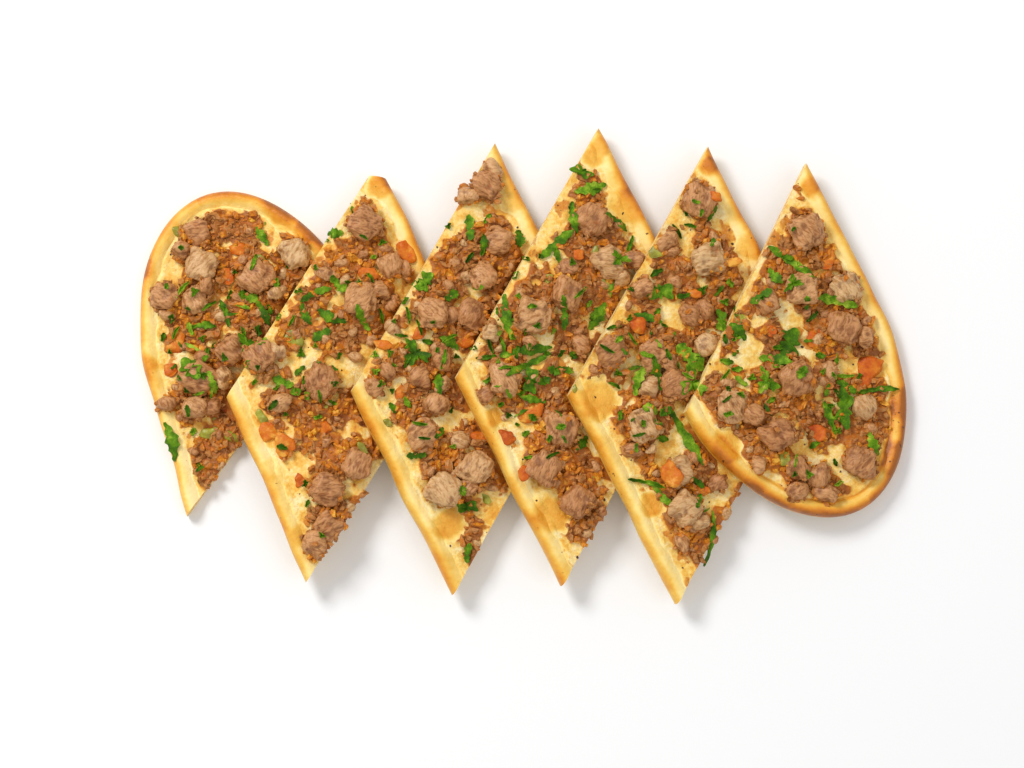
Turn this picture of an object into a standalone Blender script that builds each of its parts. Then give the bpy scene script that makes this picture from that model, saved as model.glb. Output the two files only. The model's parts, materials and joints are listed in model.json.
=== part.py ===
"""A minced meat pide: one long, boat-shaped flatbread with a raised crust, topped with meat, vegetables and
cheese, cut slantwise in six, its slices fanned in a row so that each one leans on the slice to its left.

The loaf is worked out flat first: u runs along its length, v across it and w up from its underside. Each
slice is then laid in the row, where X runs along the row, Y away from the front and Z up. Units are metres.
"""

import math
import random

import bmesh
import bpy
from mathutils import Matrix, Vector, noise
from mathutils.bvhtree import BVHTree

MM = 0.001

# The whole loaf before it is cut
LOAF_LENGTH = 604 * MM
LOAF_WIDTH = 109 * MM
END_TAPER = 0.12  # share of the width that is lost towards the ends
CAP_LENGTH = 74 * MM  # the rounded part of each end
END_SWAY = 3.6 * MM  # how far the hand-shaped ends bend to the side
EDGE_WOBBLE = 1.2 * MM
WOBBLE_LENGTH = 22 * MM
CUT_SLANT = math.tan(math.radians(34))

# Bread: heights above its underside, and widths measured in from the crust's edge
BASE_HEIGHT = 4.5 * MM
RIM_HEIGHT = 8.0 * MM
EDGE_TOP = 3.6 * MM
EDGE_BOTTOM = 1.4 * MM
RIM_ROUND = 3.2 * MM
RIM_WIDTH = 8.0 * MM
BELLY_ROUND = 2.2 * MM
RIM_STEPS = [0, 0.9 * MM, 2.4 * MM, 4.8 * MM, 8.3 * MM]

# Topping: a bed that lies on the bread inside the crust
GAP = 0.3 * MM  # clearance between pieces that touch
BED_INSET = 9.0 * MM
BED_HEIGHT = 1.7 * MM
BED_EDGE_DROP = 0.8 * MM
BED_ROUND = 6 * MM
LUMP_HEIGHT = 2.4 * MM
LUMP_SIZE = 9 * MM
COVERED_SHARE = 0.2  # of the lumps' height that is left under the next slice

# How the slices lie on each other
STACK = 9.3 * MM  # from one slice's underside up to the next one's
STIFFNESS = 0.35  # share of the gap underneath that the bread bridges instead of sagging into it
SUPPORT_REACH = 25 * MM
TIP_SAG = 3.0 * MM
SAG_START = 45 * MM
SAG_LENGTH = 55 * MM
FOOT_PRESS = 0.5 * MM

# Each slice: length along the loaf, where its middle lies in the row, the turn of the loaf's length below
# the row's X and how much of its far tip is blunt. What lies on it is placed from its middle: large cubes of
# meat and pieces of tomato as (along, across, size), and strips of parsley as (along, across, length, turn
# from the row's X). All in mm and degrees.
SLICES = [
    {
        "length": 98, "middle": (-127.6, 28.3), "turn": 69.6, "blunt": 0,
        "cubes": [(-34, -4, 11), (-19, -8, 14), (-5, -16, 12), (-11, -28, 12),
                  (-4, 13, 14), (-9, 33, 13), (22, -9, 13), (29, -27, 15)],
        "tomato": [(-19, 10, 8), (10, -30, 9), (20, -37, 6)],
        "parsley": [(-22, 22, 10, -56), (5, -5, 13, -72), (11, 11, 12, -62), (7, -16, 11, 0),
                    (52, -32, 12, -75)],
    },
    {
        "length": 88, "middle": (-77.9, -3.3), "turn": 65.7, "blunt": 7,
        "cubes": [(-54, 34, 14), (-25, 18, 15), (-34, 36, 11), (-19, -32, 13),
                  (2, -13, 15), (47, -29, 14), (42, -13, 12), (61, -35, 12)],
        "tomato": [(-33, 27, 7), (13, -39, 9), (22, -37, 9), (39, -38, 6)],
        "parsley": [(-35, 2, 15, 25), (-28, -6, 10, -67), (-22, 4, 14, -23), (-17, -3, 9, 30),
                    (-4, -27, 10, -23), (-12, 12, 9, -64)],
    },
    {
        "length": 100, "middle": (-19.8, -2.7), "turn": 63.3, "blunt": 0,
        "cubes": [(-69, 40, 13), (-46, 34, 14), (-34, 21, 13), (-29, -7, 13),
                  (-21, 8, 13), (17, -35, 14), (44, -37, 15), (41, -21, 14)],
        "tomato": [(30, -13, 8), (-26, -33, 6), (-12, 1, 6), (-4, -35, 6)],
        "parsley": [(-56, 26, 12, -86), (-43, -3, 9, -55), (-16, -21, 11, -48), (-14, -5, 10, -31),
                    (1, -18, 10, -85), (30, -37, 9, 3), (55, -31, 8, -34)],
    },
    {
        "length": 103, "middle": (27.2, 1.9), "turn": 63.2, "blunt": 0,
        "cubes": [(-52, 31, 14), (-27, 6, 14), (-31, 30, 14), (-25, -12, 14),
                  (-4, -37, 15), (26, -24, 14), (38, -37, 14), (58, -31, 14)],
        "tomato": [(19, -43, 7), (12, -31, 10), (-40, 20, 5)],
        "parsley": [(-64, 36, 15, 17), (-49, 13, 19, 41), (-41, 40, 10, -36), (-29, -22, 21, -80),
                    (-13, 0, 13, -88), (-12, 15, 14, 59), (-12, -21, 24, 11), (1, -25, 10, -58),
                    (36, -17, 8, 54)],
    },
    {
        "length": 104, "middle": (76.9, -6.9), "turn": 63.1, "blunt": 0,
        "cubes": [(-68, 38, 14), (-43, 29, 14), (-25, -29, 15), (-16, -14, 13),
                  (1, -9, 13), (10, -31, 14), (35, -27, 13), (51, -31, 13)],
        "tomato": [(-31, -11, 8), (-37, 39, 6), (48, -20, 6), (22, -34, 9)],
        "parsley": [(-39, 4, 11, -43), (-31, -3, 13, -16), (-7, 3, 16, -43), (-5, -24, 12, 72),
                    (24, -15, 29, -59), (36, -38, 10, -13)],
    },
    {
        "length": 111, "middle": (129.0, -16.0), "turn": 60.1, "blunt": 0,
        "cubes": [(-64, 35, 15), (-34, 37, 13), (-43, 20, 14), (-18, 28, 15),
                  (-10, -3, 16), (-12, -35, 15), (8, -23, 15), (36, 4, 14)],
        "tomato": [(-49, 36, 8), (-22, 15, 7), (3, 28, 12), (17, -6, 7), (-23, -23, 7)],
        "parsley": [(-55, 26, 20, -35), (-50, 8, 11, 32), (-24, 4, 13, -34), (-25, -8, 14, -9),
                    (-14, -14, 10, -66), (5, 17, 10, -30), (13, 11, 13, -74), (12, 23, 16, 6),
                    (30, -10, 11, -70)],
    },
]
LAST = len(SLICES) - 1

# Grids: how many steps each slice's surfaces are divided into
BREAD_ROWS = 9
BREAD_RAYS = 20
BREAD_INNER = 4
BED_NEAR, BED_FAR = 9, 3  # steps over the part that shows, and over the part that the next slice covers
BED_SHOWN = 0.5
BED_RAYS = 22
BED_RINGS = 8

# Cubes of meat
CUBE_HEIGHT = 0.54
CUBE_UNEVENNESS = 0.13
CUBE_BEVEL = 0.2
CUBE_LEAN = 9
CUBE_ROOM = 0.75  # of its size is kept flat around a cube's middle
CUBE_RADIUS = 0.6  # of its size is kept free of strips and tomato

# Strips of parsley and pieces of tomato, which are fused to the topping
STRIP_WIDTH = 2.6 * MM
STRIP_THICKNESS = 0.9 * MM
STRIP_ARCH = 1.0 * MM
STRIP_STEPS = 4
STRIP_POINT = 1.8  # how much narrower its ends are
STRIP_WAVE, STRIP_WAVES = 0.25, 17
STRIP_BEND = 0.3
STRIP_SHARES = (1, 0.8, 0.6, 0.45)  # a strip is cut shorter where cubes leave no room for all of it
TOMATO_HEIGHT = 0.45
CLEARANCE = 0.4 * MM
SEED = 11
PROBE = 20 * MM  # how far off the rays start that set a cube down
PROBES = 24  # steps across a cube between those rays

COLOURS = {
    "bread": ((0.80, 0.50, 0.14, 1), 0.55),
    "topping": ((0.60, 0.33, 0.11, 1), 0.40),
    "meat": ((0.48, 0.25, 0.13, 1), 0.45),
}


def smooth(t):
    """0 to 1, level at both ends."""
    t = min(max(t, 0.0), 1.0)
    return t * t * (3 - 2 * t)


# ---------------------------------------------------------------- outline of the loaf


def crust_edge(u, side):
    """The point of the crust's edge at u, on side -1 or 1. The hand-shaped ends taper, round off and sway."""
    share = 2 * u / LOAF_LENGTH
    half = LOAF_WIDTH / 2 * (1 - END_TAPER * share * share)
    half += EDGE_WOBBLE * noise.noise(Vector((u / WOBBLE_LENGTH, side * 5.3, 0.7)))
    into_cap = min(max(0.0, abs(u) - LOAF_LENGTH / 2 + CAP_LENGTH) / CAP_LENGTH, 1)
    return Vector((u, side * half * math.sqrt(1 - into_cap * into_cap) - END_SWAY * share**3))


def loaf_ring(count=150):
    """Points all the way round the loaf, closest together at its ends."""
    along = [-math.cos(math.pi * k / count) * LOAF_LENGTH / 2 for k in range(count + 1)]
    return [crust_edge(u, 1) for u in along] + [crust_edge(u, -1) for u in along[-2:0:-1]]


def distance_to_ring(point, ring):
    """Distance from a flat point to the nearest side of a closed ring."""
    nearest = math.inf
    for start, end in zip(ring, ring[1:] + ring[:1]):
        side = end - start
        share = min(max((point - start).dot(side) / max(side.length_squared, 1e-12), 0), 1)
        nearest = min(nearest, (start + share * side - point).length)
    return nearest


def inside_ring(point, ring):
    """Whether a flat point lies inside a closed ring."""
    inside = False
    for start, end in zip(ring, ring[1:] + ring[:1]):
        if (start.y > point.y) != (end.y > point.y):
            if point.x < start.x + (end.x - start.x) * (point.y - start.y) / (end.y - start.y):
                inside = not inside
    return inside


LOAF_RING = loaf_ring()
CUTS = [-LOAF_LENGTH / 2]
for piece in SLICES:
    CUTS.append(CUTS[-1] + piece["length"] * MM)


def crust_distance(flat):
    """How far a flat point lies in from the crust's edge."""
    return distance_to_ring(flat, LOAF_RING)


def cut_corner(cut, side):
    """Where the slanted cut that crosses the loaf's middle at u = cut meets the crust on one side."""
    corner = Vector((cut, side * LOAF_WIDTH / 2))
    for _ in range(20):
        corner = crust_edge(cut - CUT_SLANT * corner.y, side)
    return corner


def middle(n):
    """The flat point that a slice is laid out from."""
    return Vector(((CUTS[n] + CUTS[n + 1]) / 2, 0))


def end_cut(n):
    """The only cut of an end slice, or None for a slice from between."""
    return {0: CUTS[1], LAST: CUTS[LAST]}.get(n)


def end_crust(n, share):
    """A crust point of an end slice, from one corner of its cut round the loaf's end (0.5) to the other."""
    tip = math.copysign(LOAF_LENGTH / 2, end_cut(n))
    side = -1 if share < 0.5 else 1
    corner = cut_corner(end_cut(n), side).x
    return crust_edge(tip + (corner - tip) * (1 - math.sin(math.pi * min(share, 1 - share))), side)


def slice_ring(n, steps=20):
    """A slice's flat outline."""
    if end_cut(n):
        return [end_crust(n, k / (2 * steps)) for k in range(2 * steps + 1)]
    near, far = CUTS[n], CUTS[n + 1]
    shares = [k / steps for k in range(steps + 1)]
    lower = [cut_corner(near + (far - near) * share, -1) for share in shares]
    upper = [cut_corner(far + (near - far) * share, 1) for share in shares]
    return [blunted(n, point) for point in lower + upper]


def blunted(n, flat):
    """A flat point, pulled back if it lies beyond its slice's blunt tip."""
    tip = cut_corner(CUTS[n], 1)
    outward = (tip - middle(n)).normalized()
    beyond = (flat - tip).dot(outward) + SLICES[n]["blunt"] * MM
    return flat - max(beyond, 0) * outward if SLICES[n]["blunt"] else flat


# ---------------------------------------------------------------- the row of slices


def in_plan(n, flat):
    """Where a flat point of slice n lies in the row, seen from above."""
    turn = -math.radians(SLICES[n]["turn"])
    return Matrix.Rotation(turn, 2) @ (flat - middle(n)) + Vector(SLICES[n]["middle"]) * MM


PLANS = [[in_plan(n, flat) for flat in slice_ring(n)] for n in range(len(SLICES))]
LEFT = [min(point.x for point in plan) for plan in PLANS]
RIGHT = [max(point.x for point in plan) for plan in PLANS]
LEANS = [0.0]  # the slope of each slice, up to the left


def underside(n, x):
    """Height of slice n's underside over the board at x, before its tips sag."""
    if n == 0:
        return 0.0
    plane = LEANS[n] * (RIGHT[n] - x)
    if x >= RIGHT[n - 1]:
        return plane
    support = underside(n - 1, x) + STACK
    bridged = STIFFNESS + (1 - STIFFNESS) * math.exp((x - RIGHT[n - 1]) / SUPPORT_REACH)
    return support + (plane - support) * bridged


def steepest_support(n, probes=24):
    """The slope at which slice n just clears the slice under it."""
    places = [LEFT[n] + (RIGHT[n - 1] - LEFT[n]) * k / probes for k in range(probes + 1)]
    return max((underside(n - 1, x) + STACK) / (RIGHT[n] - x) for x in places)


for number in range(1, len(SLICES)):
    LEANS.append(steepest_support(number))


def lie(n, plan):
    """Height of slice n's underside over the board. Only the first slice lies quite flat."""
    if n == 0:
        return 0.0
    sag = TIP_SAG * (max(0.0, abs(plan.y) - SAG_START) / SAG_LENGTH) ** 2
    return underside(n, plan.x) - sag - FOOT_PRESS


def in_row(n, flat, height):
    """The place in the row of a point of slice n that is some height above its underside."""
    plan = in_plan(n, flat)
    step = 0.5 * MM
    slope_x = (lie(n, plan + Vector((step, 0))) - lie(n, plan - Vector((step, 0)))) / (2 * step)
    slope_y = (lie(n, plan + Vector((0, step))) - lie(n, plan - Vector((0, step)))) / (2 * step)
    place = Vector((plan.x, plan.y, lie(n, plan))) + height * Vector((-slope_x, -slope_y, 1)).normalized()
    place.z = max(place.z, 0.0)
    return place


def clear_of_next(n, flat):
    """How far a flat point of slice n lies outside the slice on top of it, below 0 where it is covered."""
    if n == LAST:
        return LOAF_WIDTH
    plan = in_plan(n, flat)
    distance = distance_to_ring(plan, PLANS[n + 1])
    return -distance if inside_ring(plan, PLANS[n + 1]) else distance


# ---------------------------------------------------------------- heights above a slice's underside


def bread_top(n, flat):
    """A rounded crust that falls to the thin base inside it."""
    inward = crust_distance(flat)
    rim = RIM_HEIGHT * (1 + 0.05 * noise.noise(Vector((flat.x, flat.y, 0)) / WOBBLE_LENGTH))
    if inward < RIM_ROUND:
        return EDGE_TOP + (rim - EDGE_TOP) * math.sqrt(1 - (1 - inward / RIM_ROUND) ** 2)
    fall = smooth((inward - RIM_ROUND) / (RIM_WIDTH - RIM_ROUND))
    return rim + (BASE_HEIGHT - rim) * fall


def bread_bottom(n, flat):
    """An underside that rounds up to the crust's edge."""
    outward = max(0.0, 1 - crust_distance(flat) / BELLY_ROUND)
    return EDGE_BOTTOM * (1 - math.sqrt(1 - outward * outward))


def bed_bottom(n, flat):
    return BASE_HEIGHT + GAP


def bed_top(n, flat):
    """A bed of cheese and mince: lumpy, but level under the cubes and low where it is covered."""
    rounded = BED_EDGE_DROP * (1 - smooth((crust_distance(flat) - BED_INSET) / BED_ROUND))
    room = COVERED_SHARE + (1 - COVERED_SHARE) * smooth(clear_of_next(n, flat) / BED_ROUND)
    for cube, size in flat_cubes(n):
        room *= smooth((flat - cube).length / size - CUBE_ROOM + 0.5)
    lumps = 0.5 + noise.noise(Vector((flat.x, flat.y, 0)) / LUMP_SIZE)
    return BASE_HEIGHT + GAP + BED_HEIGHT - rounded + LUMP_HEIGHT * room * max(0.0, lumps)


def flat_cubes(n):
    """Where slice n's cubes of meat are, with their sizes."""
    return [(middle(n) + Vector((u, v)) * MM, size * MM) for u, v, size in SLICES[n]["cubes"]]


# ---------------------------------------------------------------- slabs over a slice


def even(steps):
    return [k / steps for k in range(steps + 1)]


def near_and_far(near, far, shown):
    """Shares from 0 to 1, with most of the steps over the first, shown part."""
    return [shown * k / near for k in range(near + 1)] + [
        shown + (1 - shown) * k / far for k in range(1, far + 1)]


def straight_grid(n, rows, insets, across):
    """Rows of flat points along the cuts of a slice from between, each from one crust to the other."""
    grid = []
    for row in rows:
        cut = CUTS[n] + (CUTS[n + 1] - CUTS[n]) * row
        start, end = cut_corner(cut, -1), cut_corner(cut, 1)
        along = (end - start).normalized() * math.hypot(CUT_SLANT, 1)
        left = [start + inset * along for inset in insets]
        right = [end - inset * along for inset in reversed(insets)]
        between = [left[-1].lerp(right[0], share) for share in across[1:-1]]
        grid.append([blunted(n, flat) for flat in left + between + right])
    return grid


def end_grid(n, rays, insets, inward):
    """Rays of flat points from the crust of an end slice in to the middle of its cut."""
    focus = cut_corner(end_cut(n), -1).lerp(cut_corner(end_cut(n), 1), 0.5)
    grid = []
    for share in rays:
        crust = end_crust(n, share)
        rim = [step_in(crust, focus, inset) for inset in insets]
        grid.append(rim + [rim[-1].lerp(focus, share) for share in inward[1:]])
    return grid


def step_in(crust, focus, inset):
    """The point between a crust point and the focus that lies this far in from the crust's edge."""
    near, far = 0.0, 0.5
    for _ in range(16):
        share = (near + far) / 2
        if crust_distance(crust.lerp(focus, share)) < inset:
            near = share
        else:
            far = share
    return crust.lerp(focus, near)


def slab(name, n, grid, bottom, top, material):
    """A closed slab of slice n over a grid of flat points, from one height to another."""
    body = bmesh.new()
    bmesh.ops.create_grid(body, x_segments=len(grid[0]) - 1, y_segments=len(grid) - 1, size=1)
    cell = body.verts.layers.int.new("cell")
    for index, vert in enumerate(body.verts):
        vert[cell] = index
    raised = bmesh.ops.extrude_face_region(body, geom=body.faces[:])
    upper = {item for item in raised["geom"] if isinstance(item, bmesh.types.BMVert)}
    for vert in body.verts:
        row, column = divmod(vert[cell], len(grid[0]))
        flat = grid[row][column]
        vert.co = in_row(n, flat, (top if vert in upper else bottom)(n, flat))
    bmesh.ops.remove_doubles(body, verts=body.verts, dist=0.01 * MM)
    bmesh.ops.triangulate(body, faces=body.faces)
    return finished(name, body, material)


def finished(name, body, material):
    """A new object of the pide from a bmesh, with its faces pointing out."""
    bmesh.ops.recalc_face_normals(body, faces=body.faces)
    mesh = bpy.data.meshes.new(name)
    body.to_mesh(mesh)
    body.free()
    mesh.materials.append(material)
    made = bpy.data.objects.new(name, mesh)
    PIDE.objects.link(made)
    return made


def bread(n):
    """One slice's bread, from its browned crust to its two cut faces."""
    if end_cut(n):
        grid = end_grid(n, even(BREAD_RAYS), RIM_STEPS, even(BREAD_INNER))
    else:
        grid = straight_grid(n, even(BREAD_ROWS), RIM_STEPS, even(BREAD_INNER))
    return slab(f"slice_{n + 1}_bread", n, grid, bread_bottom, bread_top, MATERIALS["bread"])


def bed(n):
    """One slice's topping, which runs through to its cut faces."""
    if end_cut(n):
        grid = end_grid(n, even(BED_RAYS), [BED_INSET], even(BED_RINGS))
    else:
        shares = near_and_far(BED_NEAR, BED_FAR, BED_SHOWN)
        grid = straight_grid(n, shares, [BED_INSET], shares)
    return slab(f"slice_{n + 1}_topping", n, grid, bed_bottom, bed_top, MATERIALS["topping"])


# ---------------------------------------------------------------- cubes, tomato and parsley


def rough_cube(name, size, height, draw, material):
    """A cube with uneven corners and cut edges, standing on the origin."""
    body = bmesh.new()
    bmesh.ops.create_cube(body, size=1)
    for vert in body.verts:
        vert.co += Vector([draw.uniform(-CUBE_UNEVENNESS, CUBE_UNEVENNESS) for _ in range(3)])
        vert.co = Vector((vert.co.x * size, vert.co.y * size, (vert.co.z + 0.5) * height))
    made = finished(name, body, material)
    rounding = made.modifiers.new("rounding", "BEVEL")
    rounding.width = CUBE_BEVEL * size
    rounding.segments = 1
    rounding.limit_method = "NONE"
    return made


def set_mesh(made, placing=None):
    """Makes an object's evaluated mesh its own, moved by a matrix."""
    mesh = bpy.data.meshes.new_from_object(made.evaluated_get(bpy.context.evaluated_depsgraph_get()))
    made.modifiers.clear()
    made.data = mesh
    if placing:
        mesh.transform(placing)
    mesh.update()


def placed(n, flat, turn, lean=0.0):
    """The matrix that stands a piece on slice n's topping at a flat point, turned and leaning in degrees."""
    foot = in_row(n, flat, BASE_HEIGHT + GAP + BED_HEIGHT)
    up = in_row(n, flat, 2 * BASE_HEIGHT + BED_HEIGHT) - foot
    tilt = Vector((0, 0, 1)).rotation_difference(up).to_matrix().to_4x4()
    lean_turn = Matrix.Rotation(math.radians(lean), 4, "X")
    return Matrix.Translation(foot) @ tilt @ Matrix.Rotation(math.radians(turn), 4, "Z") @ lean_turn


def ray_tree(mesh):
    return BVHTree.FromPolygons([v.co for v in mesh.vertices], [p.vertices for p in mesh.polygons])


def lift_clear(made, below):
    """Lifts a piece until it just clears what it lies on, compared at many places across it."""
    mesh = made.data
    over, under = ray_tree(mesh), ray_tree(below)
    corners = [[v.co[axis] for v in mesh.vertices] for axis in range(3)]
    low, high = Vector([min(values) for values in corners]), Vector([max(values) for values in corners])
    steps = range(PROBES + 1)
    places = [low.xy + (high - low).xy * Vector((a, b)) / PROBES for a in steps for b in steps]
    places += [v.co.xy for v in mesh.vertices]
    places += [v.co.xy for v in below.vertices if low.x < v.co.x < high.x and low.y < v.co.y < high.y]
    lifts = []
    for place in places:
        underside = over.ray_cast(Vector((*place, low.z - PROBE)), Vector((0, 0, 1)))[0]
        top = under.ray_cast(Vector((*place, high.z + PROBE)), Vector((0, 0, -1)))[0]
        if underside and top:
            lifts.append(top.z - underside.z)
    mesh.transform(Matrix.Translation((0, 0, max(lifts) + GAP)))


def meat_cube(n, k, topping, draw):
    """One large cube of meat, resting on the topping."""
    flat, size = flat_cubes(n)[k]
    made = rough_cube(f"slice_{n + 1}_meat_{k + 1}", size, size * CUBE_HEIGHT, draw, MATERIALS["meat"])
    turn, lean = draw.uniform(0, 90), draw.uniform(-CUBE_LEAN, CUBE_LEAN)
    set_mesh(made, placed(n, flat, turn, lean))
    lift_clear(made, topping.data)
    return made


def is_free(n, flat, radius):
    """Whether a flat place on slice n's topping shows, clear of its edges and of its cubes."""
    ring = slice_ring(n)
    return (
        inside_ring(flat, ring)
        and distance_to_ring(flat, ring) > radius + CLEARANCE
        and crust_distance(flat) > BED_INSET + radius + CLEARANCE
        and clear_of_next(n, flat) > radius + CLEARANCE
        and all((flat - cube).length > radius + CUBE_RADIUS * size for cube, size in flat_cubes(n))
    )


def strip_is_free(n, flat, length, turn):
    """Whether a strip fits on slice n's topping, at its middle and both ends."""
    heading = math.radians(turn + SLICES[n]["turn"])
    reach = Vector((math.cos(heading), math.sin(heading))) * length / 2
    return all(is_free(n, flat + share * reach, STRIP_WIDTH / 2) for share in (-1, -0.5, 0, 0.5, 1))


def parsley_strip(n, flat, length, turn, below, draw):
    """A shred of parsley: a thin strip with wavy edges that arches off the topping."""
    body = bmesh.new()
    bmesh.ops.create_cube(body, size=1)
    bmesh.ops.subdivide_edges(
        body, edges=[e for e in body.edges if abs((e.verts[0].co - e.verts[1].co).x) > 0.5],
        cuts=STRIP_STEPS - 1)
    plan = in_plan(n, flat)
    heading = Matrix.Rotation(math.radians(turn), 2)
    bend = draw.uniform(-STRIP_BEND, STRIP_BEND)
    tree = ray_tree(below)
    for vert in body.verts:
        share, side, level = vert.co
        wave = 1 + STRIP_WAVE * math.sin(STRIP_WAVES * share)
        width = STRIP_WIDTH * (1 - STRIP_POINT * share * share) * wave
        spot = plan + heading @ Vector((share * length, bend * length * share * share + side * width))
        bed_z = tree.ray_cast(Vector((spot.x, spot.y, LOAF_WIDTH)), Vector((0, 0, -1)))[0].z
        arch = STRIP_ARCH * (1 - 4 * share * share)
        vert.co = (spot.x, spot.y, bed_z + arch + level * STRIP_THICKNESS)
    bmesh.ops.triangulate(body, faces=body.faces)
    return finished("strip", body, MATERIALS["topping"])


def fuse(target, pieces):
    """Joins pieces to a topping with one Boolean union, and removes them."""
    bits = bpy.data.collections.new("bits")
    bpy.context.scene.collection.children.link(bits)
    for piece in pieces:
        PIDE.objects.unlink(piece)
        bits.objects.link(piece)
    union = target.modifiers.new("fuse", "BOOLEAN")
    union.operation = "UNION"
    union.operand_type = "COLLECTION"
    union.collection = bits
    union.solver = "EXACT"
    set_mesh(target)
    for piece in pieces:
        bpy.data.objects.remove(piece)
    bpy.data.collections.remove(bits)


def garnish(n, topping, draw):
    """Fuses slice n's pieces of tomato and strips of parsley to its topping, where its cubes leave room."""
    pieces = []
    for along, across, size in SLICES[n]["tomato"]:
        flat = middle(n) + Vector((along, across)) * MM
        if is_free(n, flat, size / 2 * MM):
            height = size * MM * TOMATO_HEIGHT
            made = rough_cube("tomato", size * MM, height, draw, MATERIALS["topping"])
            set_mesh(made, placed(n, flat, draw.uniform(0, 90)))
            pieces.append(made)
    for along, across, length, turn in SLICES[n]["parsley"]:
        flat = middle(n) + Vector((along, across)) * MM
        fitting = [share * length * MM for share in STRIP_SHARES
                   if strip_is_free(n, flat, share * length * MM, turn)]
        if fitting:
            pieces.append(parsley_strip(n, flat, fitting[0], turn, topping.data, draw))
    fuse(topping, pieces)


def centre_on_board():
    """Moves the whole row so that the middle of its box stands on the origin."""
    corners = [v.co for made in PIDE.objects for v in made.data.vertices]
    x, y = [(min(c[axis] for c in corners) + max(c[axis] for c in corners)) / 2 for axis in (0, 1)]
    for made in PIDE.objects:
        made.data.transform(Matrix.Translation((-x, -y, 0)))


def plain_material(name):
    """A Principled material with the part's colour and roughness."""
    colour, roughness = COLOURS[name]
    made = bpy.data.materials.new(name)
    made.use_nodes = True
    shader = made.node_tree.nodes["Principled BSDF"]
    shader.inputs["Base Color"].default_value = colour
    shader.inputs["Roughness"].default_value = roughness
    shader.inputs["Metallic"].default_value = 0.0
    return made


for old in list(bpy.data.objects):
    bpy.data.objects.remove(old)
PIDE = bpy.data.collections.new("minced_meat_pide")
bpy.context.scene.collection.children.link(PIDE)
MATERIALS = {name: plain_material(name) for name in COLOURS}

for slice_number in range(len(SLICES)):
    random_draw = random.Random(SEED + slice_number)
    bread(slice_number)
    slice_topping = bed(slice_number)
    garnish(slice_number, slice_topping, random_draw)
    for cube_number in range(len(SLICES[slice_number]["cubes"])):
        meat_cube(slice_number, cube_number, slice_topping, random_draw)
centre_on_board()
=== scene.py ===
"""The look of a minced meat pide: a long flatbread with a browned crust under cheese, diced and minced meat,
tomato, pepper and parsley, cut slantwise in six slices that are fanned in a row.

As in the part's source, the loaf is worked out flat first, with u along its length, v across it and a height
above its underside, and each slice is then laid in the row. Lengths are in metres.
"""

import json
import math
import random

import bmesh
import bpy
import numpy as np
from mathutils import Matrix, Vector, noise
from mathutils.bvhtree import BVHTree

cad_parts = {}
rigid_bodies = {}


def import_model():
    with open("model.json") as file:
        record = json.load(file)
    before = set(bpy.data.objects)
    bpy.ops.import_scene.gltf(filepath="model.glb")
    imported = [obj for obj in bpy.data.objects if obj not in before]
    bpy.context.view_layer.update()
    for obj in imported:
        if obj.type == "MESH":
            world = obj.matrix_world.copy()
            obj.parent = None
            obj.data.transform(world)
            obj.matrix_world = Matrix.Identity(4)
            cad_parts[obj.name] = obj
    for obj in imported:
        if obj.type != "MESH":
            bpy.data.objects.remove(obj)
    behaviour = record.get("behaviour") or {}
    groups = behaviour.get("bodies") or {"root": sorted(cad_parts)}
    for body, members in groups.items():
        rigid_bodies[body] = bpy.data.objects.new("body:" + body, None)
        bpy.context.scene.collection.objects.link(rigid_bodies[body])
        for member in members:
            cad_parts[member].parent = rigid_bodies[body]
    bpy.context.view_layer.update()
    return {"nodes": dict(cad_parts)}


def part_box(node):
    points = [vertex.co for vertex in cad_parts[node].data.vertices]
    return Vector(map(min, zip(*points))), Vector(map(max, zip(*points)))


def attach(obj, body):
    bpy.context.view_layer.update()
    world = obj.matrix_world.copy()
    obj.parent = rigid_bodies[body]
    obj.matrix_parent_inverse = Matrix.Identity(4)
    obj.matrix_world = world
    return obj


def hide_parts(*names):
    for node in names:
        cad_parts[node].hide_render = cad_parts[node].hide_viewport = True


MM = 0.001

# The whole loaf before it is cut
LOAF_LENGTH = 604 * MM
LOAF_WIDTH = 109 * MM
END_TAPER = 0.12
CAP_LENGTH = 74 * MM
END_SWAY = 3.6 * MM
EDGE_WOBBLE = 1.2 * MM
WOBBLE_LENGTH = 22 * MM
CUT_SLANT = math.tan(math.radians(34))

# Bread: heights above its underside, and widths measured in from the crust's edge
BASE_HEIGHT = 4.5 * MM
RIM_HEIGHT = 8.0 * MM
EDGE_TOP = 3.6 * MM
EDGE_BOTTOM = 1.4 * MM
RIM_ROUND = 3.2 * MM
RIM_WIDTH = 10.5 * MM
BELLY_ROUND = 2.2 * MM
BLISTER_HEIGHT = 0.7 * MM

# Topping
BED_INSET = 6.0 * MM
CHEESE_HEIGHT = 1.3 * MM
MINCE_START = 11.5 * MM
MINCE_START_AT_ENDS = 8.0 * MM
LUMP_SIZE = 4.4 * MM
LUMP_HEIGHT = 1.7 * MM
BANK_HEIGHT = 2.4 * MM  # of the topping against the sides of the meat cubes
BED_STEP = 0.75 * MM

# How the slices lie on each other
STACK = 9.3 * MM
STIFFNESS = 0.35
SUPPORT_REACH = 25 * MM
TIP_SAG = 3.0 * MM
SAG_START = 45 * MM
SAG_LENGTH = 55 * MM
FOOT_PRESS = 0.5 * MM

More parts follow.
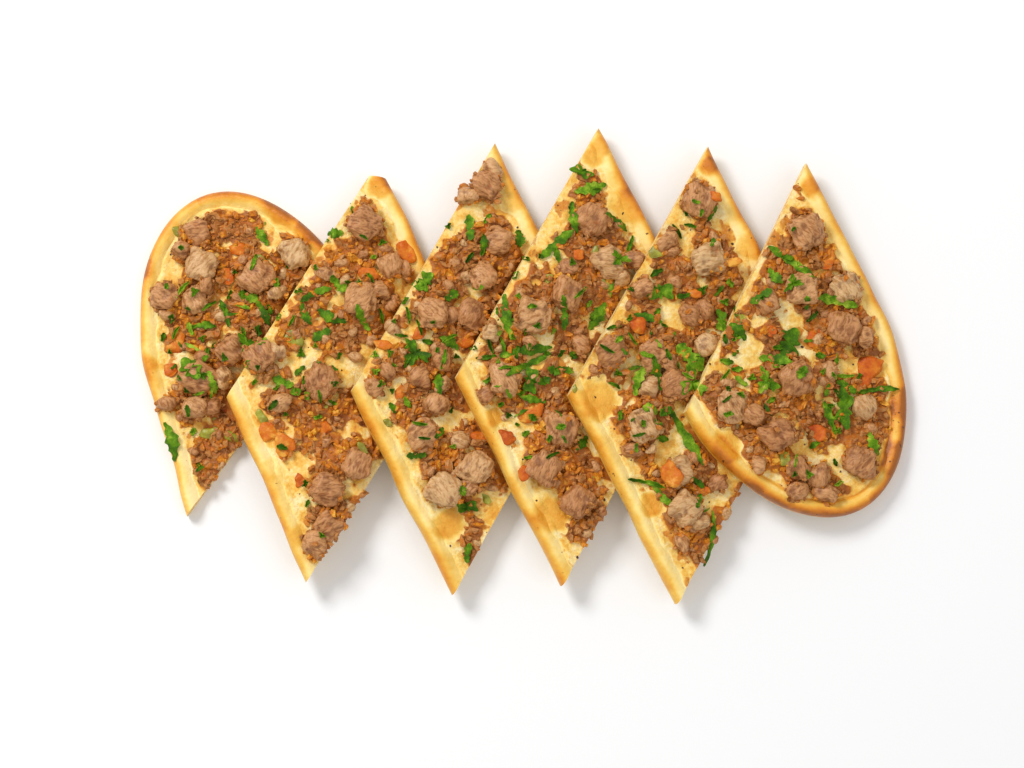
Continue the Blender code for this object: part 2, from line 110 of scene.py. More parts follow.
# Each slice: length, the place of its middle, its turn, how blunt its far tip is, and what is placed on it
# one by one. Blisters of the crust are (along, across, size, depth of colour), lumps of meat between the
# cubes, tomato and pepper (along, across, size), parsley (along, across, length, turn, width). In mm and
# degrees.
SLICES = [
    {
        "length": 98, "middle": (-127.6, 28.3), "turn": 69.6, "blunt": 0,
        "blisters": [(-28, -34, 12, 0.3), (15, -48, 12, 0.35), (-31, 37, 20, 0.4), (-18, 45, 17, 0.45)],
        "lumps": [
            (-10, -9, 9), (5, 20, 9), (33, -16, 10), (41, -33, 12), (34, -43, 9), (42, -24, 8), (20, -22, 7),
            (-29, -13, 9)],
        "tomato": [(-19, 10, 8), (-11, 1, 6), (10, -30, 10), (20, -37, 6)],
        "pepper": [(-13, 17, 6), (58, -22, 7), (-37, -12, 8), (53, -31, 8)],
        "parsley": [
            (-22, 22, 10, -56, 3.5), (5, -5, 13, -72, 2.5), (2, 7, 9, -18, 4), (11, 11, 12, -62, 3),
            (7, -16, 11, 0, 3), (22, -1, 8, -52, 5), (24, -28, 11, 35, 5), (33, -21, 10, -72, 3),
            (51, -47, 18, -75, 5)],
    },
    {
        "length": 88, "middle": (-77.9, -3.3), "turn": 65.7, "blunt": 7,
        "blisters": [(-68, 47, 11, 0.5), (-36, 50, 12, 0.25), (30, -47, 12, 0.2), (60, -48, 9, 0.25)],
        "lumps": [
            (-41, 10, 9), (-24, 29, 9), (-17, 31, 7), (-29, 43, 7), (5, -32, 11), (66, -44, 12),
            (-17, -25, 8)],
        "tomato": [(-37, 46, 8), (-33, 27, 7), (22, -19, 6), (13, -42, 9), (22, -38, 9), (39, -38, 6)],
        "pepper": [(-21, -16, 9), (38, -7, 6), (6, -42, 8)],
        "parsley": [
            (-35, 2, 15, 25, 3), (-28, -6, 10, -67, 3), (-34, 13, 10, -41, 4), (-22, 4, 14, -23, 4),
            (-17, -3, 9, 30, 4), (-16, 16, 12, -64, 3), (-56, 21, 7, 4, 4), (-4, -27, 10, -23, 4)],
    },
    {
        "length": 100, "middle": (-19.8, -2.7), "turn": 63.3, "blunt": 0,
        "blisters": [(58, -42, 14, 0.45), (-60, 50, 14, 0.25), (-9, -49, 9, 0.15)],
        "lumps": [
            (-74, 46, 10), (-69, 31, 9), (-24, 1, 8), (-8, -11, 13), (2, -17, 9), (-4, -24, 10), (8, -24, 12),
            (-11, -44, 8), (-14, -36, 8), (48, -27, 10), (27, -22, 8)],
        "tomato": [(-54, 31, 5), (30, -13, 8), (-26, -33, 6), (-12, 1, 6), (-24, -16, 6), (-4, -35, 6)],
        "pepper": [(6, -46, 5), (55, -22, 6)],
        "parsley": [
            (-56, 26, 12, -86, 4), (-42, 44, 8, -83, 4), (-46, 28, 10, -95, 3), (-43, -3, 9, -55, 5),
            (-32, 5, 7, 38, 4), (-16, -21, 11, -48, 6), (-14, -5, 10, -31, 4), (1, -18, 10, -85, 3.5),
            (25, -41, 9, 3, 3), (55, -31, 8, -34, 5), (73, -40, 9, -99, 3)],
    },
    {
        "length": 103, "middle": (27.2, 1.9), "turn": 63.2, "blunt": 0,
        "blisters": [
            (57, -44, 17, 0.45), (-80, 50, 9, 0.5), (-77, 45, 9, 0.5), (-50, 50, 17, 0.4), (8, -47, 8, 0.5)],
        "lumps": [
            (-26, -30, 9), (-2, -47, 9), (-3, 2, 9), (-27, 41, 10), (-23, 32, 8), (-37, 13, 9),
            (-15, -18, 7)],
        "tomato": [(19, -47, 7), (36, -46, 6), (12, -32, 11), (-40, 20, 5)],
        "pepper": [(-38, 27, 5), (-36, 2, 6), (-22, 27, 9)],
        "parsley": [
            (-73, 38, 8, -3, 7), (-64, 38, 15, 17, 5), (-56, 25, 15, -81, 3.5), (-49, 13, 19, 41, 4),
            (-46, 42, 12, -36, 2.5), (-30, 35, 7, -14, 5), (-29, -22, 21, -80, 4), (-19, 2, 15, -88, 3),
            (-12, 15, 14, 59, 5), (-12, -21, 24, 11, 4), (-6, -24, 20, 29, 3), (1, -25, 10, -58, 5),
            (9, -28, 12, -10, 3), (36, -17, 8, 54, 3)],
    },
    {
        "length": 104, "middle": (76.9, -6.9), "turn": 63.1, "blunt": 0,
        "blisters": [(-8, -43, 18, 0.45), (-80, 50, 9, 0.6), (43, -43, 11, 0.5), (-40, 49, 12, 0.3)],
        "lumps": [
            (-58, 17, 10), (-44, -3, 9), (-3, -21, 9), (19, -39, 10), (-23, 18, 8), (-24, 11, 9),
            (-9, 11, 12), (-9, -7, 8), (47, -12, 9), (60, -27, 8), (65, -39, 8)],
        "tomato": [(-66, 45, 6), (-31, -11, 8), (36, -29, 12), (-32, 18, 5), (-37, 39, 6), (48, -20, 6)],
        "pepper": [(-55, 11, 8), (-17, -50, 4)],
        "parsley": [
            (-60, 41, 8, 58, 1.6), (-39, 4, 11, -43, 8), (-31, -6, 13, -16, 3), (-7, 3, 16, -43, 7),
            (4, -2, 12, -69, 5), (-8, -23, 14, 72, 4), (-7, -14, 16, -77, 3), (6, -24, 7, -23, 4),
            (24, -15, 29, -59, 4), (34, -40, 17, -13, 2), (42, -37, 14, -51, 3), (69, -25, 25, -99, 2)],
    },
    {
        "length": 111, "middle": (129.0, -16.0), "turn": 60.1, "blunt": 0,
        "blisters": [(-80, 47, 9, 0.5), (24, 36, 14, 0.5), (44, 20, 18, 0.5), (2, -44, 14, 0.35)],
        "lumps": [
            (-45, 4, 10), (-9, 35, 9), (-4, 13, 9), (-5, -26, 10), (16, 19, 12), (27, -20, 12), (33, -14, 12),
            (34, -26, 9), (42, -15, 10), (16, -35, 8)],
        "tomato": [(-49, 38, 8), (-33, -1, 5), (-22, 15, 7), (3, 28, 12), (17, -6, 7), (-23, -23, 7)],
        "pepper": [(19, -25, 7), (-44, -10, 6)],
        "parsley": [
            (-55, 23, 25, -35, 3.5), (-53, 13, 9, -47, 4), (-46, 18, 7, 40, 5), (-48, 3, 11, 32, 3.5),
            (-30, 32, 19, -11, 4), (-48, -17, 8, -58, 5), (-40, -13, 10, -47, 4), (-24, 4, 13, -34, 5),
            (-21, -5, 15, -9, 4), (-14, -14, 10, -66, 5), (5, 17, 10, -30, 3), (13, 11, 13, -74, 5),
            (13, 29, 19, 6, 2.5), (13, 3, 17, -69, 3), (33, 14, 11, -70, 4)],
    },
]
LAST = len(SLICES) - 1


def smooth(t):
    """0 to 1, level at both ends, for a number or an array."""
    t = np.clip(t, 0.0, 1.0)
    return t * t * (3 - 2 * t)


def noise_at(points, size, seed=0.0):
    """Soft noise from -1 to 1 at flat points, with features of one size."""
    return np.array([noise.noise(Vector((x / size, y / size, seed))) for x, y in points])


# ---------------------------------------------------------------- outline of the loaf

RING_POINTS = 300  # along each long side of the loaf's outline
SIDE_STEPS = 40  # along each side of a slice that is crust
CORNER_ROUNDS = 20  # to find where a cut meets the crust
FIELD_STEP = 1.2 * MM
FIELD_MARGIN = 3  # steps round the outline
AT_ONCE = 1500  # points whose distances are worked out together, to spare memory


def crust_edge(u, side):
    """Points of the crust's edge at u, on side -1 or 1."""
    u = np.atleast_1d(u)
    share = 2 * u / LOAF_LENGTH
    wobble = np.array([noise.noise(Vector((x / WOBBLE_LENGTH, side * 5.3, 0.7))) for x in u])
    half = LOAF_WIDTH / 2 * (1 - END_TAPER * share * share) + EDGE_WOBBLE * wobble
    into_cap = np.clip((np.abs(u) - LOAF_LENGTH / 2 + CAP_LENGTH) / CAP_LENGTH, 0, 1)
    return np.column_stack((u, side * half * np.sqrt(1 - into_cap**2) - END_SWAY * share**3))


def loaf_ring():
    """The loaf's closed outline."""
    along = -np.cos(np.linspace(0, math.pi, RING_POINTS)) * LOAF_LENGTH / 2
    return np.vstack((crust_edge(along, 1), crust_edge(along[-2:0:-1], -1)))


def distance_to_ring(points, ring):
    """Distance from flat points to the nearest side of a closed ring."""
    sides = np.roll(ring, -1, axis=0) - ring
    squares = np.maximum((sides**2).sum(1), 1e-12)
    nearest = []
    for part in np.array_split(points, len(points) // AT_ONCE + 1):
        away = part[:, None] - ring
        share = np.clip((away * sides).sum(2) / squares, 0, 1)
        nearest.append(np.sqrt(((away - share[..., None] * sides) ** 2).sum(2).min(1)))
    return np.concatenate(nearest)


def inside_ring(points, ring):
    """Whether flat points lie inside a closed ring."""
    inside = np.zeros(len(points), bool)
    for start, end in zip(ring, np.roll(ring, -1, axis=0)):
        crosses = (start[1] > points[:, 1]) != (end[1] > points[:, 1])
        rise = end[1] - start[1] or 1e-12
        inside ^= crosses & (points[:, 0] < start[0] + (end[0] - start[0]) * (points[:, 1] - start[1]) / rise)
    return inside


LOAF_RING = loaf_ring()
CUTS = np.cumsum([-LOAF_LENGTH / 2] + [piece["length"] * MM for piece in SLICES])


def field_of(ring, step):
    """Distance to a ring, minus outside it, on a grid: the grid's corner, its step and its values."""
    margin = FIELD_MARGIN * step
    low = ring.min(0) - margin
    counts = np.ceil((ring.max(0) + margin - low) / step).astype(int)
    lines = [low[k] + step * np.arange(counts[k]) for k in (0, 1)]
    flat = np.stack(np.meshgrid(*lines, indexing="ij"), axis=2).reshape(-1, 2)
    sign = np.where(inside_ring(flat, ring), 1, -1)
    return low, step, (distance_to_ring(flat, ring) * sign).reshape(counts)


CRUST_FIELD = field_of(LOAF_RING, FIELD_STEP)


def inward_of(flat):
    """How far flat points lie in from the crust's edge, read between the points of the field."""
    low, step, values = CRUST_FIELD
    just_inside = np.array(values.shape) - 1.001
    place = np.clip((flat - low) / step, 0, just_inside)
    i, j = place.astype(int).T
    s, t = (place - place.astype(int)).T
    return ((values[i, j] * (1 - s) + values[i + 1, j] * s) * (1 - t)
            + (values[i, j + 1] * (1 - s) + values[i + 1, j + 1] * s) * t)


def crust_distance(flat):
    """As inward_of, but exact on the rounded edge of the crust."""
    distance = np.abs(inward_of(flat))
    near = distance < RIM_ROUND
    distance[near] = distance_to_ring(flat[near], LOAF_RING) if near.any() else 0
    return distance


def cut_corner(cut, side):
    """Where the slanted cut that crosses the loaf's middle at u = cut meets the crust on one side."""
    corner = np.array((cut, side * LOAF_WIDTH / 2))
    for _ in range(CORNER_ROUNDS):
        corner = crust_edge(cut - CUT_SLANT * corner[1], side)[0]
    return corner


def middle(n):
    """The middle of a slice on the flat loaf."""
    return np.array(((CUTS[n] + CUTS[n + 1]) / 2, 0))


def end_cut(n):
    """The only cut of an end slice, or None for a slice from between."""
    return {0: CUTS[1], LAST: CUTS[LAST]}.get(n)


def end_crust(n, shares):
    """Crust points of an end slice, from one corner of its cut round the loaf's end to the other."""
    tip = math.copysign(LOAF_LENGTH / 2, end_cut(n))
    halves = []
    for side, part in ((-1, shares[shares < 0.5]), (1, 1 - shares[shares >= 0.5])):
        corner = cut_corner(end_cut(n), side)[0]
        halves.append(crust_edge(tip + (corner - tip) * (1 - np.sin(math.pi * part)), side))
    return np.vstack(halves)


def slice_ring(n):
    """A slice's flat outline."""
    if end_cut(n):
        return end_crust(n, np.linspace(0, 1, 2 * SIDE_STEPS + 1))
    cuts = np.linspace(CUTS[n], CUTS[n + 1], SIDE_STEPS + 1)
    lower = [cut_corner(cut, -1) for cut in cuts]
    upper = [cut_corner(cut, 1) for cut in cuts[::-1]]
    return blunted(n, np.array(lower + upper))


def blunted(n, flat):
    """Flat points, pulled back where they lie beyond their slice's blunt tip."""
    if not SLICES[n]["blunt"]:
        return flat
    tip = cut_corner(CUTS[n], 1)
    outward = (tip - middle(n)) / np.linalg.norm(tip - middle(n))
    beyond = (flat - tip) @ outward + SLICES[n]["blunt"] * MM
    return flat - np.maximum(beyond, 0)[..., None] * outward


# ---------------------------------------------------------------- the row of slices


def in_plan(n, flat):
    """Where flat points of slice n lie in the row, seen from above."""
    turn = math.radians(SLICES[n]["turn"])
    along = np.array((math.cos(turn), -math.sin(turn)))
    across = np.array((math.sin(turn), math.cos(turn)))
    away = flat - middle(n)
    return away[..., :1] * along + away[..., 1:] * across + np.array(SLICES[n]["middle"]) * MM


PLANS = [in_plan(n, slice_ring(n)) for n in range(len(SLICES))]
LEFT = [plan[:, 0].min() for plan in PLANS]
RIGHT = [plan[:, 0].max() for plan in PLANS]
LEANS = [0.0]
LEAN_PROBES = 25  # places where a slice may touch the one under it
SLOPE_STEP = 0.5 * MM


def underside(n, x):
    """Height of slice n's underside over the board at x, before its tips sag."""
    if n == 0:
        return np.zeros_like(x)
    plane = LEANS[n] * (RIGHT[n] - x)
    support = underside(n - 1, x) + STACK
    bridged = STIFFNESS + (1 - STIFFNESS) * np.exp(np.minimum(x - RIGHT[n - 1], 0) / SUPPORT_REACH)
    return np.where(x >= RIGHT[n - 1], plane, support + (plane - support) * bridged)


for number in range(1, len(SLICES)):
    probes = np.linspace(LEFT[number], RIGHT[number - 1], LEAN_PROBES)
    LEANS.append(max((underside(number - 1, probes) + STACK) / (RIGHT[number] - probes)))


def lie(n, plan):
    """Height of slice n's underside over the board. Only the first slice lies quite flat."""
    if n == 0:
        return np.zeros(plan.shape[:-1])
    sag = TIP_SAG * (np.maximum(0, np.abs(plan[..., 1]) - SAG_START) / SAG_LENGTH) ** 2
    return underside(n, plan[..., 0]) - sag - FOOT_PRESS


def in_row(n, flat, height):
    """The places in the row of points of slice n that are some height above its underside."""
    plan = in_plan(n, flat)
    ways = ((SLOPE_STEP, 0), (0, SLOPE_STEP))
    slopes = [(lie(n, plan + way) - lie(n, plan - way)) / (2 * SLOPE_STEP) for way in ways]
    up = np.stack((-slopes[0], -slopes[1], np.ones_like(slopes[0])), -1)
    up /= np.linalg.norm(up, axis=-1, keepdims=True)
    place = np.concatenate((plan, lie(n, plan)[..., None]), -1) + height[..., None] * up
    place[..., 2] = np.maximum(place[..., 2], 0)
    return place - ROW_SHIFT


def clear_of_next(n, flat):
    """How far flat points of slice n lie outside the slice on top of it, below 0 where it covers them."""
    if n == LAST:
        return np.full(len(flat), LOAF_WIDTH)
    plan = in_plan(n, flat)
    distance = distance_to_ring(plan, PLANS[n + 1])
    return np.where(inside_ring(plan, PLANS[n + 1]), -distance, distance)


# ---------------------------------------------------------------- surfaces of the slices

RIM_WAVES = 0.05  # of its height
RIM_BUMPS = 0.35 * MM
BUMP_LENGTH = 7 * MM
BREAD_LAYERS = 6  # from the underside to the top

# How browned the crust is, from 0 to 1: everywhere, on its underside, on its outer side along the near and
# the far edge of the loaf, on its crest, and at the loaf's two ends
LEAST_BAKE = 0.12
UNDERSIDE_BAKE = 0.35
NEAR_SIDE = (0.30, 3.2 * MM)  # with how far in it fades
FAR_SIDE = (0.42, 4.6 * MM)
CREST_BAKE = 0.14
FIRST_END_BAKE = 0.14
LAST_END_BAKE = 0.40
END_START = 215 * MM  # from the loaf's middle
END_FADE = 75 * MM
SEAM_INSET = 7.2 * MM  # where the topping of the last slice meets its crust, and has caught in the oven
SEAM_WIDTH = 1.3 * MM
SEAM_BAKE = 0.6

# The grids of a slice's bread: how far in from the crust their points lie, and how many rows there are
CRUST_STEPS = np.array(
    (0, 0.08, 0.25, 0.5, 0.85, 1.3, 1.8, 2.4, 3.1, 3.9, 4.8, 5.8, 7.0, 8.4, 10.5)) * MM
CRUST_ROWS = 110
CRUST_RAYS = 240
CRUST_INNER = 14
HALVINGS = 14  # to find how far along a ray each step lies

MERGED_BELOW = 0.002 * MM
SHARP_ANGLE = math.radians(50)


def straight_grid(n):
    """Flat points of a middle slice's bread: rows along the cuts, close together near both crusts."""
    grid = []
    for cut in np.linspace(CUTS[n], CUTS[n + 1], CRUST_ROWS):
        start, end = cut_corner(cut, -1), cut_corner(cut, 1)
        along = (end - start) / np.linalg.norm(end - start) * math.hypot(CUT_SLANT, 1)
        left = start + CRUST_STEPS[:, None] * along
        right = end - CRUST_STEPS[::-1, None] * along
        between = left[-1] + np.linspace(0, 1, CRUST_INNER + 1)[1:-1, None] * (right[0] - left[-1])
        grid.append(np.vstack((left, between, right)))
    return blunted(n, np.array(grid))


def end_grid(n):
    """Flat points of an end slice's bread: rays from the crust in to the middle of its cut."""
    focus = (cut_corner(end_cut(n), -1) + cut_corner(end_cut(n), 1)) / 2
    crust = end_crust(n, np.linspace(0, 1, CRUST_RAYS))
    columns = []
    for inset in CRUST_STEPS:
        near, far = np.zeros(CRUST_RAYS), np.full(CRUST_RAYS, 0.5)
        for _ in range(HALVINGS):
            share = (near + far) / 2
            short = crust_distance(crust + share[:, None] * (focus - crust)) < inset
            near, far = np.where(short, share, near), np.where(short, far, share)
        columns.append(crust + near[:, None] * (focus - crust))
    last = columns[-1]
    columns += [last + share * (focus - last) for share in np.linspace(0, 1, CRUST_INNER + 1)[1:]]
    return np.stack(columns, 1)


def blister(n, flat):
    """Depth of colour of the large blisters on a slice's crust."""
    depth = np.zeros(len(flat))
    ragged = 0.35 * noise_at(flat, 4 * MM, 3.1)
    for along, across, size, colour in SLICES[n]["blisters"]:
        away = np.linalg.norm(flat - middle(n) - np.array((along, across)) * MM, axis=1) / (size / 2 * MM)
        depth = np.maximum(depth, colour * smooth((1.3 - away + ragged) / 0.65))
    return depth


def bread_top(n, flat):
    """Height of the bread: a rounded crust with bumps and blisters that falls to the thin base inside it."""
    inward = crust_distance(flat)
    rim = RIM_HEIGHT * (1 + RIM_WAVES * noise_at(flat, WOBBLE_LENGTH))
    rim += RIM_BUMPS * noise_at(flat, BUMP_LENGTH, 1.7)
    rim += BLISTER_HEIGHT * blister(n, flat)
    curve = EDGE_TOP + (rim - EDGE_TOP) * np.sqrt(1 - (1 - np.minimum(inward / RIM_ROUND, 1)) ** 2)
    fall = smooth((inward - RIM_ROUND) / (RIM_WIDTH - RIM_ROUND))
    return np.where(inward < RIM_ROUND, curve, rim + (BASE_HEIGHT - rim) * fall)


def bread_bottom(flat):
    """Height of the bread's underside, which is rounded up to its edge."""
    outward = np.maximum(0.0, 1 - crust_distance(flat) / BELLY_ROUND)
    return EDGE_BOTTOM * (1 - np.sqrt(1 - outward**2))


def bake(n, flat):
    """How browned the crust is. Its outer side, its blisters and the loaf's ends are the brownest."""
    inward = crust_distance(flat)
    far = flat[:, 1] > 0
    depth, width = (np.where(far, *pair) for pair in zip(FAR_SIDE, NEAR_SIDE))
    side = depth * (1 - smooth((inward - 0.6 * MM) / width))
    crest = CREST_BAKE * (1 - smooth((inward - 3 * MM) / (4 * MM)))
    at_end = smooth((np.abs(flat[:, 0]) - END_START) / END_FADE)
    if n == LAST:
        ends = LAST_END_BAKE * at_end * (1 - smooth((inward - 2.5 * MM) / (4 * MM)))
        ends += SEAM_BAKE * at_end * np.exp(-(((inward - SEAM_INSET) / SEAM_WIDTH) ** 2))
    else:
        ends = FIRST_END_BAKE * at_end * (1 - smooth((inward - 5 * MM) / (5 * MM)))
    patches = 0.25 * noise_at(flat, 17 * MM, 0.4) + 0.10 * noise_at(flat, 6 * MM, 2.4)
    patches *= 1 - 0.5 * smooth((inward - 8 * MM) / (4 * MM))
    spots = blister(n, flat)
    return LEAST_BAKE + (side + crest) * (1 - spots) + ends + patches + spots


def shell(name, layers, values, materials):
    """A closed skin over grids of points, the first its underside and the last its top. The grids between
    only shape its side wall. The wall along the first and last rows, the cuts, gets the second material."""
    rows, columns = layers[0].shape[:2]
    index = np.arange(rows * columns).reshape(rows, columns)
    border = np.concatenate((index[0, :-1], index[:-1, -1], index[-1, :0:-1], index[:0:-1, 0]))
    cells = np.stack((index[:-1, :-1], index[:-1, 1:], index[1:, 1:], index[1:, :-1]), -1).reshape(-1, 4)
    points = [layers[0].reshape(-1, 3), layers[-1].reshape(-1, 3)]
    rings = [border]
    for layer in layers[1:-1]:
        rings.append(np.arange(len(border)) + sum(map(len, points)))
        points.append(layer.reshape(-1, 3)[border])
    rings.append(border + rows * columns)
    walls = []
    for low, high in zip(rings, rings[1:]):
        walls.append(np.stack((low, np.roll(low, -1), np.roll(high, -1), high), -1))
    place = np.arange(len(border))
    opposite = columns - 1 + rows - 1
    on_cut = (place < columns - 1) | ((place >= opposite) & (place < opposite + columns - 1))
    faces = np.vstack([cells, cells + rows * columns] + walls)
    slots = np.concatenate([np.zeros(2 * len(cells), int)] + [on_cut.astype(int)] * len(walls))

    mesh = bpy.data.meshes.new(name)
    mesh.from_pydata(np.vstack(points).tolist(), [], faces.tolist())
    mesh.polygons.foreach_set("material_index", slots)
    for label, (low, high) in values.items():
        between = [(low + high)[border] / 2] * (len(layers) - 2)
        store(mesh, label, np.concatenate([low, high] + between))
    for material in materials:
        mesh.materials.append(material)
    return cleaned(bpy.data.objects.new(name, mesh))


def store(mesh, label, values):
    """Keeps one number for each point of a mesh, for its material or for scattering."""
    layer = mesh.attributes.new(label, "FLOAT", "POINT")
    layer.data.foreach_set("value", np.asarray(values, np.float32))


def cleaned(piece):
    """Merges doubles, points the faces outwards and shades the piece smooth, but for its sharp edges."""
    body = bmesh.new()
    body.from_mesh(piece.data)
    bmesh.ops.remove_doubles(body, verts=body.verts, dist=MERGED_BELOW)
    bmesh.ops.recalc_face_normals(body, faces=body.faces)
    body.to_mesh(piece.data)
    body.free()
    piece.data.shade_smooth()
    piece.data.set_sharp_from_angle(angle=SHARP_ANGLE)
    if piece.name not in bpy.context.scene.collection.objects:
        bpy.context.scene.collection.objects.link(piece)
    return piece


# ---------------------------------------------------------------- bread and topping pieces

ROWS_APART = 0.83  # about the distance between two cuts, as a share of their distance along the loaf
ACROSS_PROBES = 140
BARE_SIZE = 15 * MM  # of the places where the cheese lies bare
BARE_LIMIT = 0.23  # of the noise that lays them out: the lower, the larger they are
LUMP_REACH = 0.75  # from a crumb's middle, in sizes of a crumb
CHEESE_WAVES = 0.45 * MM
EDGE_SINK = 0.5 * MM  # of the topping's edge into the bread
BED_DEPTH = 0.4 * MM  # of the topping's underside in the bread
COVERED_RELIEF = 0.15  # what is left of the relief under the next slice
BANK_PLACE = 0.85  # of the topping's banks, from a cube's middle, in halves of the cube's diagonal
BANK_WIDTH = 0.35
CUBE_ROOM = 0.4  # within this there is only flat cheese under the cube
HERB_BAND = (4 * MM, 38 * MM)  # parsley was strewn along the middle of the row: where, and how wide
FEWEST_HERBS = 0.06  # away from the band, as a share of what lies on it
LEAST_MASK = 0.02  # below it nothing is scattered


def bread(n, materials):
    """One slice's bread, with its crust, its two cut faces and its floured underside."""
    grid = end_grid(n) if end_cut(n) else straight_grid(n)
    flat = grid.reshape(-1, 2)
    low, high = bread_bottom(flat), bread_top(n, flat)
    heights = [low + (high - low) * share for share in np.linspace(0, 1, BREAD_LAYERS)]
    layers = [in_row(n, grid, height.reshape(grid.shape[:2])) for height in heights]
    low_bake = UNDERSIDE_BAKE + 0.2 * noise_at(flat, 15 * MM, 5.0)
    values = {"bake": (low_bake, bake(n, flat)), "height": (np.zeros(len(flat)), np.ones(len(flat)))}
    return shell(f"bread_{n + 1}", layers, values, materials)


def mince_cover(n, flat, inward):
    """1 where minced meat covers the cheese, 0 where the cheese lies bare, with ragged borders."""
    ragged = 4.5 * MM * noise_at(flat, 13 * MM, 0.9) + 1.8 * MM * noise_at(flat, 4.5 * MM, 1.9)
    start = MINCE_START if end_cut(n) is None else MINCE_START_AT_ENDS
    inside = smooth((inward - start - ragged) / (2.2 * MM))
    from_cut = (flat[:, 0] + CUT_SLANT * flat[:, 1] - CUTS[n]) * math.cos(math.atan(CUT_SLANT))
    if n:
        inside *= smooth((from_cut - 2 * MM - 1.2 * ragged) / (2.2 * MM))
    windows = noise_at(flat, BARE_SIZE, 4.2 + n) + 0.45 * noise_at(flat, 5 * MM, 6.2)
    return inside * smooth((BARE_LIMIT - windows) / 0.13)


def lumps(flat):
    """Rounded crumbs that press against each other, from 0 in the creases to 1."""
    found = []
    for x, y in flat:
        near = noise.voronoi(Vector((x / LUMP_SIZE, y / LUMP_SIZE, 0.3)))[0]
        found.append(1 - min(near[0] / LUMP_REACH, 1) ** 2)
    return np.sqrt(np.array(found))


def bed_rows(n):
    """Flat points over the inside of a slice's crust, in rows along its cuts."""
    start, end = CUTS[n], CUTS[n + 1]
    columns = int(LOAF_WIDTH / BED_STEP)
    across = np.linspace(-LOAF_WIDTH / 2, LOAF_WIDTH / 2, ACROSS_PROBES)
    grid = []
    for cut in np.linspace(start, end, int((end - start) * ROWS_APART / BED_STEP)):
        inward = inward_of(np.column_stack((cut - CUT_SLANT * across, across)))
        within = np.flatnonzero(inward > BED_INSET)
        if len(within) < 2:
            continue
        first, last = within[0], within[-1]
        low = np.interp(BED_INSET, inward[first - 1:first + 1], across[first - 1:first + 1])
        high = np.interp(BED_INSET, inward[last:last + 2][::-1], across[last:last + 2][::-1])
        v = np.linspace(low, high, columns)
        grid.append(np.column_stack((cut - CUT_SLANT * v, v)))
    return blunted(n, np.array(grid))


def topping(n, cubes, materials):
    """One slice's topping: melted cheese with browned spots, and lumps of mince in tomato."""
    grid = bed_rows(n)
    flat = grid.reshape(-1, 2)
    inward = crust_distance(flat)
    spots = blister(n, flat)
    mince = mince_cover(n, flat, inward) * (1 - smooth(spots / 0.2))
    clear = clear_of_next(n, flat)
    shown = smooth(clear / (5 * MM))
    melt = smooth((inward - BED_INSET - 1.5 * MM * noise_at(flat, 6 * MM, 8.1)) / (3 * MM))
    cheese = (CHEESE_HEIGHT + CHEESE_WAVES * noise_at(flat, 8 * MM, 2.7)) * melt - EDGE_SINK * (1 - melt)
    rough = lumps(flat) * (0.55 + 0.45 * noise_at(flat, 9 * MM, 3.3)) + 0.15 * noise_at(flat, 1.6 * MM, 7.7)
    level = bread_top(n, flat)
    plan = in_row(n, flat, level)[:, :2]
    room, bank = np.ones(len(flat)), np.zeros(len(flat))
    for cube in cubes:
        size = (cube[1] - cube[0]).xy.length / 2
        away = np.linalg.norm(plan - np.array((cube[0] + cube[1]).xy / 2), axis=1) / size
        room *= smooth((away - CUBE_ROOM) / 0.3)
        bank = np.maximum(bank, np.exp(-(((away - BANK_PLACE) / BANK_WIDTH) ** 2)))
    heaped = LUMP_HEIGHT * mince * rough * room + BANK_HEIGHT * bank * (0.4 + 0.6 * mince)
    height = level + cheese + heaped * (COVERED_RELIEF + (1 - COVERED_RELIEF) * shown)
    brown = smooth((noise_at(flat, 7 * MM, 9.4) + 0.5 * noise_at(flat, 2.4 * MM, 1.4) - 0.22) / 0.3)
    values = {
        "mince": (mince, mince),
        "brown": (brown, brown),
        "bake": (spots, bake(n, flat)),
        "skin": (melt * 0, np.maximum(1 - melt, smooth(spots / 0.12))),
        # how high the mince lies between its lumps, for the finish's painted shade in the creases
        "crease": (rough, rough),
        "crumbs": (mince * 0, mince * room * (clear > 2 * MM)),
        "bare": (mince * 0, (1 - mince) * room * melt * (clear > 3 * MM)),
        "herb": (melt * 0, herbs(n, flat, inward)),
    }
    low = in_row(n, grid, (level - BED_DEPTH).reshape(grid.shape[:2]))
    high = in_row(n, grid, height.reshape(grid.shape[:2]))
    return shell(f"topping_{n + 1}", [low, (low + high) / 2, high], values, materials)


def herbs(n, flat, inward):
    """How thickly parsley lies on a slice's topping."""
    across_row = in_row(n, flat, np.full(len(flat), BASE_HEIGHT))[:, 1]
    band = np.exp(-(((across_row - HERB_BAND[0]) / HERB_BAND[1]) ** 2))
    patchy = smooth((noise_at(flat, 16 * MM, 11.3 + n) + 0.35) / 0.6)
    clear = smooth((clear_of_next(n, flat) - 4 * MM) / (2 * MM))
    strewn = FEWEST_HERBS + (1 - FEWEST_HERBS) * band * patchy
    return clear * smooth((inward - 9 * MM) / (5 * MM)) * strewn


def plain_mesh(piece):
    """Turns what an object's modifiers make into its own plain mesh, and removes them."""
    mesh = bpy.data.meshes.new_from_object(piece.evaluated_get(bpy.context.evaluated_depsgraph_get()))
    piece.modifiers.clear()
    piece.data = mesh
    return piece


def linked(name, data):
    """A new object in the scene."""
    piece = bpy.data.objects.new(name, data)
    bpy.context.scene.collection.objects.link(piece)
    return piece


def built(name, body):
    """A new object with the faces of a bmesh, which is freed."""
    mesh = bpy.data.meshes.new(name)
    body.to_mesh(mesh)
    body.free()
    return linked(name, mesh)


def merged(name, pieces):
    """A new object with the meshes of several."""
    body = bmesh.new()
    for piece in pieces:
        body.from_mesh(piece.data)
    return built(name, body)


